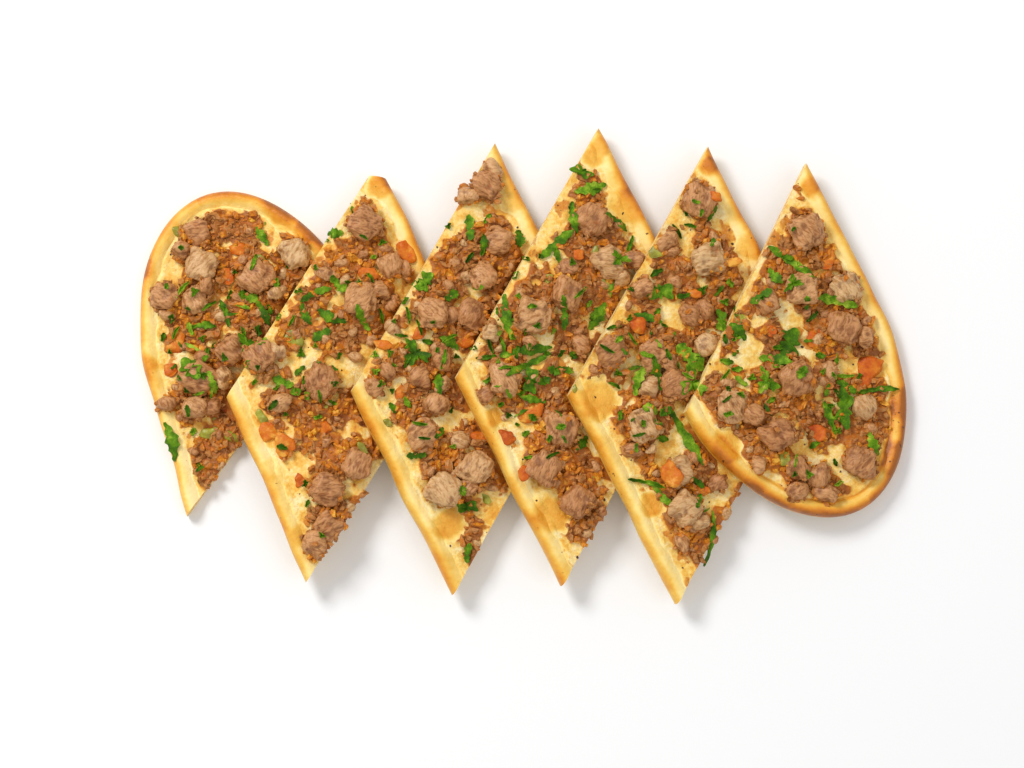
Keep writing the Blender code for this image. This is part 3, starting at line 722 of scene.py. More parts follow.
def strewn_part(bed):
    """Leaves only the faces of a bed that something is scattered on."""
    body = bmesh.new()
    body.from_mesh(bed.data)
    masks = [body.verts.layers.float[label] for label in ("crumbs", "bare", "herb")]
    empty = [vert for vert in body.verts if max(vert[mask] for mask in masks) < LEAST_MASK]
    bmesh.ops.delete(body, geom=empty, context="VERTS")
    body.to_mesh(bed.data)
    body.free()
    return bed


def joined(name, pieces, material):
    """One object with the meshes of several, which are removed."""
    whole = merged(name, pieces)
    for piece in pieces:
        bpy.data.objects.remove(piece)
    whole.data.materials.clear()
    whole.data.materials.append(material)
    whole.data.shade_smooth()
    return whole


# ---------------------------------------------------------------- meat

GRAIN = np.array((6, 2.0, 2.6)) * MM  # length, width and thickness of the fibres
FIBRE_HEIGHT = 0.22 * MM
BROAD_HEIGHT = 1.15 * MM  # of the large bulges of a lump of meat, and how large they are
BROAD_SIZE = 4.5 * MM
FINE_HEIGHT = 0.4 * MM
FINE_SIZE = 2.1 * MM
CLING_BELOW = 0.72  # of a lump's height
TEAR_DEPTH = 0.09  # of the size of a bit of tomato or pepper
TEARS = 3.2  # along its size
BLOCK = 1.25  # the side of the block that a lump is made of, in sizes of the lump
UNEVEN = 0.25  # how far the block's corners are moved at most
RAISED = 0.35  # how far its middle lies above the origin
ANY_ANGLE = 3.1  # in radians, so that all pairs of triangles are joined
SOFTENING = 4  # rounds of smoothing after a lump is cut


def points_of(piece):
    """The points of a piece, and the middle of their box."""
    points = np.array([v.co for v in piece.data.vertices])
    return points, (points.min(0) + points.max(0)) / 2


def solid_noise(points, shift):
    """Soft noise from -1 to 1 at points in space."""
    return np.array([noise.noise(Vector(p) + Vector(shift)) for p in points])


def finer(piece, levels, kind):
    """Divides the faces of a piece."""
    steps = piece.modifiers.new("finer", "SUBSURF")
    steps.subdivision_type = kind
    steps.levels = steps.render_levels = levels
    return plain_mesh(piece)


def fibrous(piece, draw, size=1.0):
    """Gives a lump of meat its uneven sides, its fibres and the coordinates that its finish follows."""
    mesh = piece.data
    points, centre = points_of(piece)
    normals = np.array([v.normal for v in mesh.vertices])
    turn = Matrix.Rotation(draw.uniform(0, math.pi), 3, "Z")
    turn = turn @ Matrix.Rotation(draw.uniform(-0.6, 0.6), 3, "Y")
    local = (points - centre) @ np.array(turn)
    shift = draw.uniform(0, 50)
    grain = local / GRAIN
    broad = solid_noise(local / BROAD_SIZE, (shift, 0, 0))
    ridges = 1 - 2 * np.abs(solid_noise(grain, (0, shift, 0)))
    fine = solid_noise(local / FINE_SIZE, (0, 0, shift))
    move = size * (BROAD_HEIGHT * broad + FINE_HEIGHT * fine + FIBRE_HEIGHT * (ridges - 0.4))
    mesh.vertices.foreach_set("co", (points + move[:, None] * normals).ravel())
    # the height of the relief at each point, by which the finish paints shade in the lump's creases
    store(mesh, "crease", 0.5 + 0.5 * broad + 0.4 * fine + 0.3 * (ridges - 0.5))
    layer = mesh.attributes.new("grain", "FLOAT_VECTOR", "POINT")
    layer.data.foreach_set("vector", (grain + shift).ravel())


def cube_of_meat(node, draw):
    """A cube of cooked meat in the form of its CAD node, with finer faces and fibres."""
    body = bmesh.new()
    body.from_mesh(node.data)
    bmesh.ops.remove_doubles(body, verts=body.verts, dist=0.01 * MM)
    bmesh.ops.join_triangles(
        body, faces=body.faces, angle_face_threshold=ANY_ANGLE, angle_shape_threshold=ANY_ANGLE)
    piece = finer(built(node.name + "_lump", body), 3, "SIMPLE")
    faceted(piece, draw, 5, 0.84)
    fibrous(piece, draw)
    return tinted(clung_to(piece), draw.random())


def clung_to(piece):
    """Keeps where mince clings to a lump of meat: mostly on its sides, low down."""
    heights = points_of(piece)[0][:, 2]
    share = (heights - heights.min()) / np.ptp(heights)
    store(piece.data, "cling", 0.03 + 0.97 * smooth((CLING_BELOW - share) / 0.3))
    return piece


def faceted(piece, draw, sides, depth):
    """Cuts a rounded lump to soft-edged flat sides, as a knife leaves them."""
    points, centre = points_of(piece)
    local = points - centre
    for _ in range(sides):
        facing = np.array([draw.gauss(0, 1), draw.gauss(0, 1), draw.gauss(0, 0.6)])
        facing /= np.linalg.norm(facing)
        reach = local @ facing
        over = np.maximum(reach - reach.max() * draw.uniform(depth, 0.95), 0)
        local -= over[:, None] * facing
    piece.data.vertices.foreach_set("co", (local + centre).ravel())
    softer = piece.modifiers.new("softer", "SMOOTH")
    softer.factor = 0.5
    softer.iterations = SOFTENING
    return plain_mesh(piece)


def tinted(piece, tint):
    """Keeps a piece's own place in the range of colours of its finish."""
    store(piece.data, "tint", np.full(len(piece.data.vertices), tint))
    return piece


def torn(piece, draw):
    """Gives a soft bit of tomato or pepper its flat sides and uneven surface."""
    faceted(piece, draw, 7, 0.6)
    size = max(piece.dimensions)
    shift = Vector((draw.uniform(0, 50), 0, 0))
    for vert in piece.data.vertices:
        vert.co += vert.normal * (TEAR_DEPTH * size * noise.noise(vert.co * (TEARS / size) + shift))
    return piece


def lump(name, size, draw, levels=2, flatness=0.75, stretch=1.0, ragged=0.0):
    """A small irregular lump with its middle a little above the origin."""
    body = bmesh.new()
    bmesh.ops.create_cube(body, size=BLOCK)
    width, bend = draw.uniform(0.65, 1) / math.sqrt(stretch), draw.uniform(-0.3, 0.3) * (stretch - 1)
    for vert in body.verts:
        vert.co += Vector([draw.uniform(-UNEVEN, UNEVEN) for _ in range(3)])
        x, y, z = vert.co
        x *= stretch
        vert.co = Vector((x, y * width + bend * x * x, (z + RAISED) * flatness)) * size
    piece = finer(built(name, body), levels, "CATMULL_CLARK")
    for vert in piece.data.vertices:
        vert.co += Vector([draw.uniform(-ragged, ragged) for _ in range(3)]) * size
    return piece


# ---------------------------------------------------------------- Geometry Nodes: scattering and draping

CROWDING = 3  # pieces tried for each square of their spacing, before those too close are left out
SKY = 0.1  # a height over everything, from which rays look down


class Nodes:
    """Builds the nodes of a tree. Inputs are given by name, with _ for a space."""

    def __init__(self, tree):
        self.tree = tree

    def add(self, kind, settings=None, **inputs):
        """A new node with its settings and inputs, which are values or other nodes' outputs."""
        node = self.tree.nodes.new(kind)
        for label, value in (settings or {}).items():
            setattr(node, label, value)
        for label, value in inputs.items():
            label = label.replace("_", " ")
            self.join(value, next(s for s in node.inputs if s.name == label and s.enabled))
        return node

    def join(self, value, socket):
        """Gives a socket its value, or links it to another node's output."""
        if isinstance(value, bpy.types.NodeSocket):
            self.tree.links.new(value, socket)
        else:
            socket.default_value = value

    def math(self, how, a, b=0.5):
        node = self.tree.nodes.new("ShaderNodeMath")
        node.operation = how
        self.join(a, node.inputs[0])
        self.join(b, node.inputs[1])
        return node.outputs[0]


class ShapeTree(Nodes):
    """A Geometry Nodes tree with named inputs that ends in Realize Instances and Set Material."""

    def __init__(self, name, inputs):
        super().__init__(bpy.data.node_groups.new(name, "GeometryNodeTree"))
        face = self.tree.interface
        face.new_socket("Geometry", in_out="INPUT", socket_type="NodeSocketGeometry")
        for label, (kind, value) in inputs.items():
            socket = face.new_socket(label, in_out="INPUT", socket_type=f"NodeSocket{kind}")
            if value is not None:
                socket.default_value = value
        face.new_socket("Geometry", in_out="OUTPUT", socket_type="NodeSocketGeometry")
        self.given = self.tree.nodes.new("NodeGroupInput").outputs

    def out(self, node):
        """A node's first output in use."""
        return next(s for s in node.outputs if s.enabled)

    def random(self, low, high, seed):
        """A random number for each point."""
        node = self.add("FunctionNodeRandomValue", {"data_type": "FLOAT"}, Min=low, Max=high, Seed=seed)
        return self.out(node)

    def named(self, label):
        """A number that is kept for each point under a name."""
        return self.out(self.add("GeometryNodeInputNamedAttribute", {"data_type": "FLOAT"}, Name=label))

    def finish(self, geometry):
        """Ends the tree."""
        real = self.add("GeometryNodeRealizeInstances", Geometry=geometry)
        done = self.add("GeometryNodeSetMaterial", Geometry=self.out(real), Material=self.given["Material"])
        self.join(self.out(done), self.tree.nodes.new("NodeGroupOutput").inputs[0])
        return self.tree


def scatter_tree():
    """Scatters a collection's pieces over a surface, where a named mask says, turned and sized at random."""
    tree = ShapeTree("scatter", {
        "Pieces": ("Collection", None), "Mask": ("String", "crumbs"), "Spacing": ("Float", 4 * MM),
        "Density": ("Float", 1000.0), "Smallest": ("Float", 0.6), "Largest": ("Float", 1.3),
        "Lean": ("Float", 0.4), "Sink": ("Float", 0.0), "Seed": ("Int", 1), "Material": ("Material", None),
    })
    given = tree.given
    points = tree.add(
        "GeometryNodeDistributePointsOnFaces", {"distribute_method": "POISSON"}, Mesh=given["Geometry"],
        Distance_Min=given["Spacing"], Density_Max=given["Density"], Density_Factor=tree.named(given["Mask"]),
        Seed=given["Seed"])
    lean = given["Lean"]
    back = tree.math("MULTIPLY", lean, -1.0)
    spin = tree.add(
        "ShaderNodeCombineXYZ", X=tree.random(back, lean, 1), Y=tree.random(back, lean, 2),
        Z=tree.random(0.0, 2 * math.pi, 3))
    turned = tree.add(
        "FunctionNodeRotateRotation", {"rotation_space": "LOCAL"}, Rotation=points.outputs["Rotation"],
        Rotate_By=tree.out(tree.add("FunctionNodeEulerToRotation", Euler=tree.out(spin))))
    pieces = tree.add(
        "GeometryNodeCollectionInfo", Collection=given["Pieces"], Separate_Children=True, Reset_Children=True)
    placed = tree.add(
        "GeometryNodeInstanceOnPoints", Points=points.outputs["Points"], Instance=tree.out(pieces),
        Pick_Instance=True, Rotation=tree.out(turned),
        Scale=tree.random(given["Smallest"], given["Largest"], 4))
    down = tree.add("ShaderNodeCombineXYZ", Z=tree.math("MULTIPLY", given["Sink"], -1.0))
    sunk = tree.add("GeometryNodeTranslateInstances", Instances=tree.out(placed), Translation=tree.out(down))
    tinted = tree.add(
        "GeometryNodeStoreNamedAttribute", {"data_type": "FLOAT", "domain": "INSTANCE"},
        Geometry=tree.out(sunk), Name="tint", Value=tree.random(0.0, 1.0, 5))
    return tree.finish(tree.out(tinted))


def drape_tree():
    """Lets flat pieces down onto a surface. They bend over it as softly as Stiffness allows."""
    tree = ShapeTree("drape", {
        "Surface": ("Object", None), "Stiffness": ("Int", 8), "Clearance": ("Float", 0.3 * MM),
        "Material": ("Material", None),
    })
    given = tree.given
    surface = tree.add("GeometryNodeObjectInfo", {"transform_space": "RELATIVE"}, Object=given["Surface"])
    place = tree.add("ShaderNodeSeparateXYZ", Vector=tree.out(tree.add("GeometryNodeInputPosition")))
    above = tree.add("ShaderNodeCombineXYZ", X=place.outputs[0], Y=place.outputs[1], Z=SKY)
    ray = tree.add(
        "GeometryNodeRaycast", Target_Geometry=surface.outputs["Geometry"], Source_Position=tree.out(above),
        Ray_Direction=(0, 0, -1), Ray_Length=2 * SKY)
    hit = tree.add("ShaderNodeSeparateXYZ", Vector=ray.outputs["Hit Position"])
    level = tree.add(
        "GeometryNodeSwitch", {"input_type": "FLOAT"}, Switch=ray.outputs["Is Hit"],
        **{"False": place.outputs[2], "True": hit.outputs[2]})
    bent = tree.add(
        "GeometryNodeBlurAttribute", {"data_type": "FLOAT"}, Value=tree.out(level),
        Iterations=given["Stiffness"])
    lifted = tree.math("ADD", tree.math("ADD", tree.out(bent), given["Clearance"]), tree.named("lift"))
    end = tree.add("ShaderNodeCombineXYZ", X=place.outputs[0], Y=place.outputs[1], Z=lifted)
    moved = tree.add("GeometryNodeSetPosition", Geometry=given["Geometry"], Position=tree.out(end))
    return tree.finish(tree.out(moved))


def grown(piece, tree, settings):
    """Runs a tree on an object with named inputs, and keeps the result as its plain mesh."""
    nodes = piece.modifiers.new(tree.name, "NODES")
    nodes.node_group = tree
    for item in tree.interface.items_tree:
        if item.item_type == "SOCKET" and item.in_out == "INPUT" and item.name in settings:
            nodes[item.identifier] = settings[item.name]
    return plain_mesh(piece)


def kept_apart(name, pieces):
    """A collection outside the scene with the shapes that a scatter picks from."""
    shapes = bpy.data.collections.new(name)
    for piece in pieces:
        bpy.context.scene.collection.objects.unlink(piece)
        shapes.objects.link(piece)
    return shapes


def scattered(name, ground, pieces, material, **settings):
    """One piece that holds everything a scatter puts on the ground."""
    shapes = kept_apart(name + "_shapes", pieces)
    piece = linked(name, ground.data.copy())
    settings["Density"] = CROWDING / settings["Spacing"] ** 2
    grown(piece, SCATTER, {"Pieces": shapes, "Material": material, **settings})
    for shape in list(shapes.objects):
        bpy.data.objects.remove(shape)
    bpy.data.collections.remove(shapes)
    return piece


# ---------------------------------------------------------------- parsley

# Parsley that is at least this wide and less than this long, in mm, is a leaf. The rest are shreds.
LEAF_WIDTH = 5
LEAF_LENGTH = 14
LEAF_THICKNESS = 0.3 * MM


def blade(name, length, width, bend, draw, steps=14, strands=4):
    """A flat shred of parsley: a ribbon that bends, with a fold along it and uneven edges."""
    body = bmesh.new()
    bmesh.ops.create_grid(body, x_segments=steps, y_segments=strands, size=0.5)
    lift = body.verts.layers.float.new("lift")
    phase = draw.uniform(0, 6)
    fold = draw.uniform(-0.5, 0.9) * MM
    for vert in body.verts:
        share, side, _ = vert.co
        taper = math.sqrt(max(0.02, 1 - (2 * share) ** 2 * 0.96))
        wave = 1 + 0.24 * math.sin(9 * share + phase) + 0.26 * math.sin(27 * share + 2 * phase + 2 * side)
        across = side * width * taper * wave
        vert.co = (share * length, bend * length * share * share + across, 0)
        vert[lift] = fold * abs(2 * side) ** 1.5 + 0.5 * MM * math.sin(7 * share + phase) + 0.5 * MM
    return built(name, body)


def leaf(name, size, draw, lobes, segments=36):
    """A bit of a parsley leaf: a few pointed lobes round a stalk, slightly cupped."""
    body = bmesh.new()
    bmesh.ops.create_circle(body, cap_ends=True, cap_tris=True, segments=segments, radius=1)
    bmesh.ops.subdivide_edges(body, edges=body.edges, cuts=1)
    lift = body.verts.layers.float.new("lift")
    phase = draw.uniform(0, 6)
    for vert in body.verts:
        turn = math.atan2(vert.co.y, vert.co.x)
        reach = vert.co.xy.length
        edge = 0.62 + 0.3 * math.cos(lobes * turn + phase) + 0.14 * math.cos(3 * lobes * turn + phase)
        vert.co = Vector((math.cos(turn), 0.75 * math.sin(turn), 0)) * reach * edge * size / 2
        vert[lift] = (0.9 * reach * reach + 0.35 * math.sin(5 * turn + phase) * reach + 0.3) * MM
    return built(name, body)


def thickened(piece, thickness):
    """Gives flat leaves and shreds two faces and an edge."""
    wall = piece.modifiers.new("wall", "SOLIDIFY")
    wall.thickness = thickness
    wall.offset = 1
    plain_mesh(piece)
    return cleaned(piece)


# ---------------------------------------------------------------- finishes


def rgb(red, green, blue):
    """A colour given as it looks on a screen, from 0 to 255, as the shader's linear colour."""
    shown = [value / 255 for value in (red, green, blue)]
    return tuple(v / 12.92 if v <= 0.04045 else ((v + 0.055) / 1.055) ** 2.4 for v in shown) + (1.0,)


GOLDEN = (241, 190, 80)
CHARRED = rgb(92, 48, 16)
BAKED = [  # the crust's colours, from pale to deep brown
    (0.0, 255, 234, 168), (0.2, 254, 222, 134), (0.42, *GOLDEN), (0.68, 228, 150, 36),
    (0.88, 200, 114, 22), (1.0, 160, 90, 22)]


class ShaderNodes(Nodes):
    """Builds the shader nodes of a material or a node group."""

    def plus(self, value, more, share=None):
        """A value and another, or a share of the other."""
        return self.math("ADD", value, self.math("MULTIPLY", more, share) if share else more)

    def texture(self, vector, scale, **settings):
        return self.add("ShaderNodeTexNoise", Vector=vector, Scale=scale, **settings).outputs["Fac"]

    def fade(self, value, low, high, start=0.0, end=1.0):
        """A value between two limits, spread smoothly from start to end."""
        node = self.add("ShaderNodeMapRange", {"interpolation_type": "SMOOTHSTEP"}, Value=value)
        for label, limit in (("From Min", low), ("From Max", high), ("To Min", start), ("To Max", end)):
            node.inputs[label].default_value = limit
        return node.outputs[0]

    def ramp(self, value, stops):
        """Colours from a few stops, each its place and its colour as it looks on a screen."""
        node = self.tree.nodes.new("ShaderNodeValToRGB")
        line = node.color_ramp.elements
        while len(line) < len(stops):
            line.new(0.5)
        for element, (place, *colour) in zip(line, stops):
            element.position = place
            element.color = rgb(*colour)
        self.join(value, node.inputs[0])
        return node.outputs[0]

    def mix(self, share, first, second):
        """The first colour, with a share of the second over it."""
        node = self.tree.nodes.new("ShaderNodeMix")
        node.data_type = "RGBA"
        self.join(share, node.inputs[0])
        self.join(first, node.inputs[6])
        self.join(second, node.inputs[7])
        return node.outputs[2]


def shader_group(name, inputs, outputs):
    """An empty shader node group with named sockets, ready to be filled."""
    group = bpy.data.node_groups.new(name, "ShaderNodeTree")
    for label, (kind, value) in inputs.items():
        socket = group.interface.new_socket(label, in_out="INPUT", socket_type=f"NodeSocket{kind}")
        if value is not None:
            socket.default_value = value
    for label, kind in outputs.items():
        group.interface.new_socket(label, in_out="OUTPUT", socket_type=f"NodeSocket{kind}")
    nodes = ShaderNodes(group)
    return nodes, group.nodes.new("NodeGroupInput").outputs, group.nodes.new("NodeGroupOutput").inputs


def mottle_group():
    """Uneven shade in large and small patches, as on anything baked or fried."""
    nodes, given, out = shader_group(
        "mottle", {"Vector": ("Vector", None), "Size": ("Float", 10 * MM), "Depth": ("Float", 1.0)},
        {"Shade": "Float"})
    scale = nodes.math("DIVIDE", 1.0, given["Size"])
    broad = nodes.texture(given["Vector"], scale, Detail=2.0)
    fine = nodes.texture(given["Vector"], nodes.math("MULTIPLY", scale, 4.3), Detail=3.0)
    centred = nodes.math("SUBTRACT", nodes.plus(broad, fine, 0.6), 0.8)
    nodes.join(nodes.math("MULTIPLY", centred, given["Depth"]), out["Shade"])
    return nodes.tree


def speck_group():
    """Small dark specks, where a value asks for many or few."""
    nodes, given, out = shader_group(
        "specks", {"Vector": ("Vector", None), "Size": ("Float", 1.5 * MM), "Share": ("Float", 0.1)},
        {"Mask": "Float"})
    spots = nodes.texture(given["Vector"], nodes.math("DIVIDE", 1.0, given["Size"]), Detail=1.0)
    limit = nodes.math("SUBTRACT", 0.78, given["Share"])
    mask = nodes.tree.nodes.new("ShaderNodeClamp")
    nodes.join(nodes.math("MULTIPLY", nodes.math("SUBTRACT", spots, limit), 14.0), mask.inputs[0])
    nodes.join(mask.outputs[0], out["Mask"])
    return nodes.tree


MOTTLE = mottle_group()
SPECKS = speck_group()


class Finish(ShaderNodes):
    """A new material, with the shader's plain values set on its own sockets."""

    def __init__(self, name, roughness, **shader):
        self.material = bpy.data.materials.new(name)
        self.material.use_nodes = True
        super().__init__(self.material.node_tree)
        self.inputs = self.tree.nodes["Principled BSDF"].inputs
        self.inputs["Roughness"].default_value = roughness
        for label, value in shader.items():
            self.inputs[label.replace("_", " ")].default_value = value
        self.place = self.add("ShaderNodeTexCoord").outputs["Object"]

    def number(self, label, output="Fac"):
        """What the mesh keeps for each point."""
        return self.add("ShaderNodeAttribute", {"attribute_name": label}).outputs[output]

    def noise(self, size, detail=3.0, roughness=0.6):
        """Noise with features of a size in metres."""
        return self.texture(self.place, 1 / size, Detail=detail, Roughness=roughness)

    def mottle(self, size, depth):
        settings = {"node_tree": MOTTLE}
        return self.add("ShaderNodeGroup", settings, Vector=self.place, Size=size, Depth=depth).outputs[0]

    def specks(self, size, share):
        settings = {"node_tree": SPECKS}
        return self.add("ShaderNodeGroup", settings, Vector=self.place, Size=size, Share=share).outputs[0]

    def shine(self, value, *limits):
        """A roughness that follows a value between limits, as fade() does."""
        self.join(self.fade(value, *limits), self.inputs["Roughness"])

    def done(self, colour, relief, depth):
        """The material, with its colour and with a relief of some depth."""
        self.join(colour, self.inputs["Base Color"])
        bump = self.add("ShaderNodeBump", Height=relief, Distance=depth, Strength=1.0)
        self.join(bump.outputs[0], self.inputs["Normal"])
        return self.material


def crust_finish():
    """The baked skin: pale to deep brown, with a few charred specks."""
    look = Finish("baked_crust", 0.5, Specular_IOR_Level=0.35)
    depth = look.plus(look.number("bake"), look.mottle(9 * MM, 0.34))
    dark = look.specks(2.2 * MM, look.fade(depth, 0.2, 0.9, 0.0, 0.08))
    look.shine(depth, 0.1, 0.9, 0.5, 0.36)
    grainy = look.plus(look.noise(1.6 * MM, 4.0), look.noise(6 * MM, 2.0))
    return look.done(look.mix(dark, look.ramp(depth, BAKED), CHARRED), grainy, 0.35 * MM)


def crumb_finish():
    """The cut through the bread: a pale open crumb between two thin baked skins."""
    look = Finish("bread_crumb", 0.8)
    pores = look.noise(1.5 * MM, 4.0, 0.7)
    pale = look.ramp(look.plus(look.fade(pores, 0.36, 0.6), look.mottle(6 * MM, 0.7)), [
        (0.0, 206, 154, 78), (0.35, 238, 196, 116), (1.0, 250, 222, 152)])
    from_middle = look.math("ABSOLUTE", look.math("SUBTRACT", look.number("height"), 0.5))
    return look.done(look.mix(look.fade(from_middle, 0.36, 0.5), pale, rgb(*GOLDEN)), pores, 0.5 * MM)


def topping_finish():
    """Melted cheese, cream to browned, and mince stained by tomato with painted shade between its lumps,
    mixed by what the surface keeps.
    """
    look = Finish("cheese_and_mince", 0.42, Specular_IOR_Level=0.3)
    patches = look.mottle(8 * MM, 1.0)
    fine = look.noise(1.3 * MM, 4.0)
    ragged = look.math("SUBTRACT", fine, 0.5)

    cheese = look.ramp(look.math("ADD", look.math("MULTIPLY", patches, 1.4), 0.45), [
        (0.2, 255, 236, 172), (0.45, 250, 215, 120), (0.7, 240, 182, 70), (0.95, 222, 146, 44)])
    brown = look.math("MULTIPLY", look.number("brown"), look.noise(2.2 * MM))
    cheese = look.mix(look.fade(brown, 0.12, 0.5), cheese, rgb(206, 128, 36))
    dark = look.specks(1.8 * MM, look.fade(brown, 0.2, 0.5, 0.0, 0.16))
    cheese = look.mix(dark, cheese, rgb(112, 58, 16))

    mince = look.ramp(look.math("ADD", look.mottle(11 * MM, 1.6), 0.5), [
        (0.1, 172, 110, 50), (0.4, 168, 96, 30), (0.65, 188, 102, 18), (0.95, 222, 150, 40)])
    # painted shade: darker brown where the mince lies low between its lumps
    mince = look.mix(look.fade(look.number("crease"), 0.5, 0.1, 0.0, 0.45), mince, rgb(138, 70, 20))
    mince = look.mix(look.fade(fine, 0.5, 0.75, 0.0, 0.4), mince, rgb(214, 158, 92))

    edge = look.plus(look.number("mince"), ragged, 0.7)
    cheese = look.mix(look.fade(edge, -0.1, 0.3, 0.0, 0.8), cheese, rgb(232, 160, 58))
    both = look.mix(look.fade(edge, 0.25, 0.6), cheese, mince)
    skin = look.plus(look.number("skin"), ragged, 0.5)
    baked = look.ramp(look.plus(look.number("bake"), patches, 0.34), BAKED)
    look.shine(fine, 0.3, 0.7, 0.5, 0.3)
    relief = look.plus(fine, look.noise(3.2 * MM, 2.0))
    return look.done(look.mix(look.fade(skin, 0.2, 0.7), both, baked), relief, 0.5 * MM)


def meat_finish():
    """Cooked meat: light to deep brown, with fibres that follow each lump, and painted shade in its creases.
    """
    look = Finish("cooked_meat", 0.45, Specular_IOR_Level=0.35)
    fibres = look.texture(look.number("grain", "Vector"), 1.7, Detail=4.0, Distortion=0.9)
    tint = look.number("tint")
    light = look.ramp(tint, [(0.0, 192, 132, 80), (0.6, 208, 152, 98), (1.0, 216, 176, 124)])
    deep = look.ramp(tint, [(0.0, 120, 60, 10), (0.6, 144, 80, 20), (1.0, 162, 104, 34)])
    colour = look.mix(look.fade(fibres, 0.25, 0.62, 0.1, 1.0), deep, light)
    # painted shade: darker brown where the lump's relief is low, in its creases and between its fibres
    colour = look.mix(look.fade(look.number("crease"), 0.48, 0.12, 0.0, 0.6), colour, rgb(106, 50, 6))
    spots = look.mottle(4 * MM, 1.0)
    colour = look.mix(look.fade(spots, 0.08, 0.35, 0.0, 0.5), colour, rgb(176, 94, 22))
    look.shine(fibres, 0.3, 0.7, 0.5, 0.32)
    return look.done(colour, look.plus(fibres, look.noise(1.1 * MM, 3.0)), 0.35 * MM)


def tinted_finish(name, roughness, stops, size, relief, **shader):
    """A finish for small pieces whose colour differs from piece to piece, from place to place and on each."""
    look = Finish(name, roughness, **shader)
    own = look.math("ADD", look.math("MULTIPLY", look.number("tint"), 0.4), 0.28)
    shade = look.plus(own, look.plus(look.mottle(size, 0.8), look.mottle(12 * MM, 1.3)))
    return look.done(look.ramp(shade, stops), look.noise(size / 3, 3.0), relief)


FINISH = {
    "crust": crust_finish(),
    "crumb": crumb_finish(),
    "topping": topping_finish(),
    "meat": meat_finish(),
    "mince": tinted_finish("mince", 0.45, [
        (0.0, 124, 66, 18), (0.2, 166, 106, 50), (0.4, 192, 134, 74), (0.54, 186, 108, 36),
        (0.72, 206, 120, 16), (0.95, 232, 172, 60)], 3 * MM, 0.4 * MM, Specular_IOR_Level=0.28),
    "parsley": tinted_finish("parsley", 0.6, [
        (0.0, 44, 76, 4), (0.35, 66, 106, 6), (0.65, 102, 142, 16), (0.95, 158, 182, 52)],
        3 * MM, 0.25 * MM, Specular_IOR_Level=0.15),
    "tomato": tinted_finish("tomato", 0.4, [
        (0.0, 166, 66, 10), (0.35, 200, 92, 12), (0.65, 212, 118, 24), (0.95, 232, 168, 66)],
        4 * MM, 0.5 * MM, Specular_IOR_Level=0.25),
    "pepper": tinted_finish("green_pepper", 0.35, [
        (0.0, 118, 106, 14), (0.5, 146, 142, 26), (1.0, 190, 190, 66)],
        4 * MM, 0.3 * MM, Coat_Weight=0.12, Coat_Roughness=0.3),
    "char": tinted_finish("charred_bits", 0.6, [
        (0.0, 44, 22, 12), (0.6, 84, 42, 18), (1.0, 128, 66, 24)], 2 * MM, 0.3 * MM),
}


# ---------------------------------------------------------------- the room

ROOM_LIGHT = 0.62
LAMPS = (((-0.75, 0.75, 1.2), 0.5, 16.0), ((0.9, -0.5, 1.5), 1.2, 4.0))  # place, size and power
FLOOR_SIZE = 6
SENSOR = 36
CAMERA_HEIGHT = 1.6
CAMERA_LEAN = math.radians(6)  # from straight above, towards the front
VIEW_WIDTH = 0.4608
VIEW_SHIFT = (-0.0048, -0.0077)  # the row lies a little off the middle of the view


def studio():
    """A white floor and soft light, most of it from the upper left."""
    bpy.ops.mesh.primitive_plane_add(size=FLOOR_SIZE)
    floor = bpy.context.object
    floor.name = "floor"
    white = bpy.data.materials.new("white_floor")
    white.use_nodes = True
    shader = white.node_tree.nodes["Principled BSDF"].inputs
    shader["Base Color"].default_value = (0.9, 0.9, 0.9, 1)
    shader["Roughness"].default_value = 0.9
    floor.data.materials.append(white)
    world = bpy.data.worlds.new("soft_room")
    world.use_nodes = True
    background = world.node_tree.nodes["Background"].inputs
    background[0].default_value = (1, 1, 1, 1)
    background[1].default_value = ROOM_LIGHT
    bpy.context.scene.world = world
    for place, size, power in LAMPS:
        lamp = bpy.data.lights.new("softbox", "AREA")
        lamp.size = size
        lamp.energy = power
        holder = linked("softbox", lamp)
        holder.location = place
        holder.rotation_euler = (-Vector(place)).to_track_quat("-Z", "Y").to_euler()
    bpy.context.scene.view_settings.view_transform = "Standard"


def camera():
    """A camera that looks down on the row."""
    lens = bpy.data.cameras.new("camera")
    lens.sensor_width = SENSOR
    lens.lens = SENSOR * CAMERA_HEIGHT / VIEW_WIDTH
    lens.shift_x = VIEW_SHIFT[0] / VIEW_WIDTH
    lens.shift_y = VIEW_SHIFT[1] / VIEW_WIDTH
    holder = linked("camera", lens)
    holder.location = (0, -CAMERA_HEIGHT * math.sin(CAMERA_LEAN), CAMERA_HEIGHT * math.cos(CAMERA_LEAN))
    holder.rotation_euler = (CAMERA_LEAN, 0, 0)
    bpy.context.scene.camera = holder


# ---------------------------------------------------------------- the whole pide

SEED = 7
FULL_TURN = 6.28
ROW_SHIFT = np.zeros(3)
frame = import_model()
SCATTER = scatter_tree()
DRAPE = drape_tree()
draw = random.Random(SEED)
chunk_draw = random.Random(SEED + 1)


def centre_of_row():
    """The shift that puts the middle of the bread's box on the origin, as in the CAD model."""
    rings = [slice_ring(n) for n in range(len(SLICES))]
    corners = np.vstack([in_row(n, ring, np.full(len(ring), EDGE_TOP)) for n, ring in enumerate(rings)])
    boxes = [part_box(f"slice_{n + 1}_bread") for n in range(len(SLICES))]
    low = np.min([np.array(box[0]) for box in boxes], axis=0)
    high = np.max([np.array(box[1]) for box in boxes], axis=0)
    shift = (corners.min(0) + corners.max(0)) / 2 - (low + high) / 2
    return np.array((shift[0], shift[1], 0))


ROW_SHIFT = centre_of_row()
studio()
camera()


def spot(n, along, across):
    """The place in the row of a point given as along and across a slice, in mm."""
    flat = middle(n) + np.array((along, across)) * MM
    return Vector(in_row(n, flat.reshape(1, 2), np.array([BASE_HEIGHT]))[0])


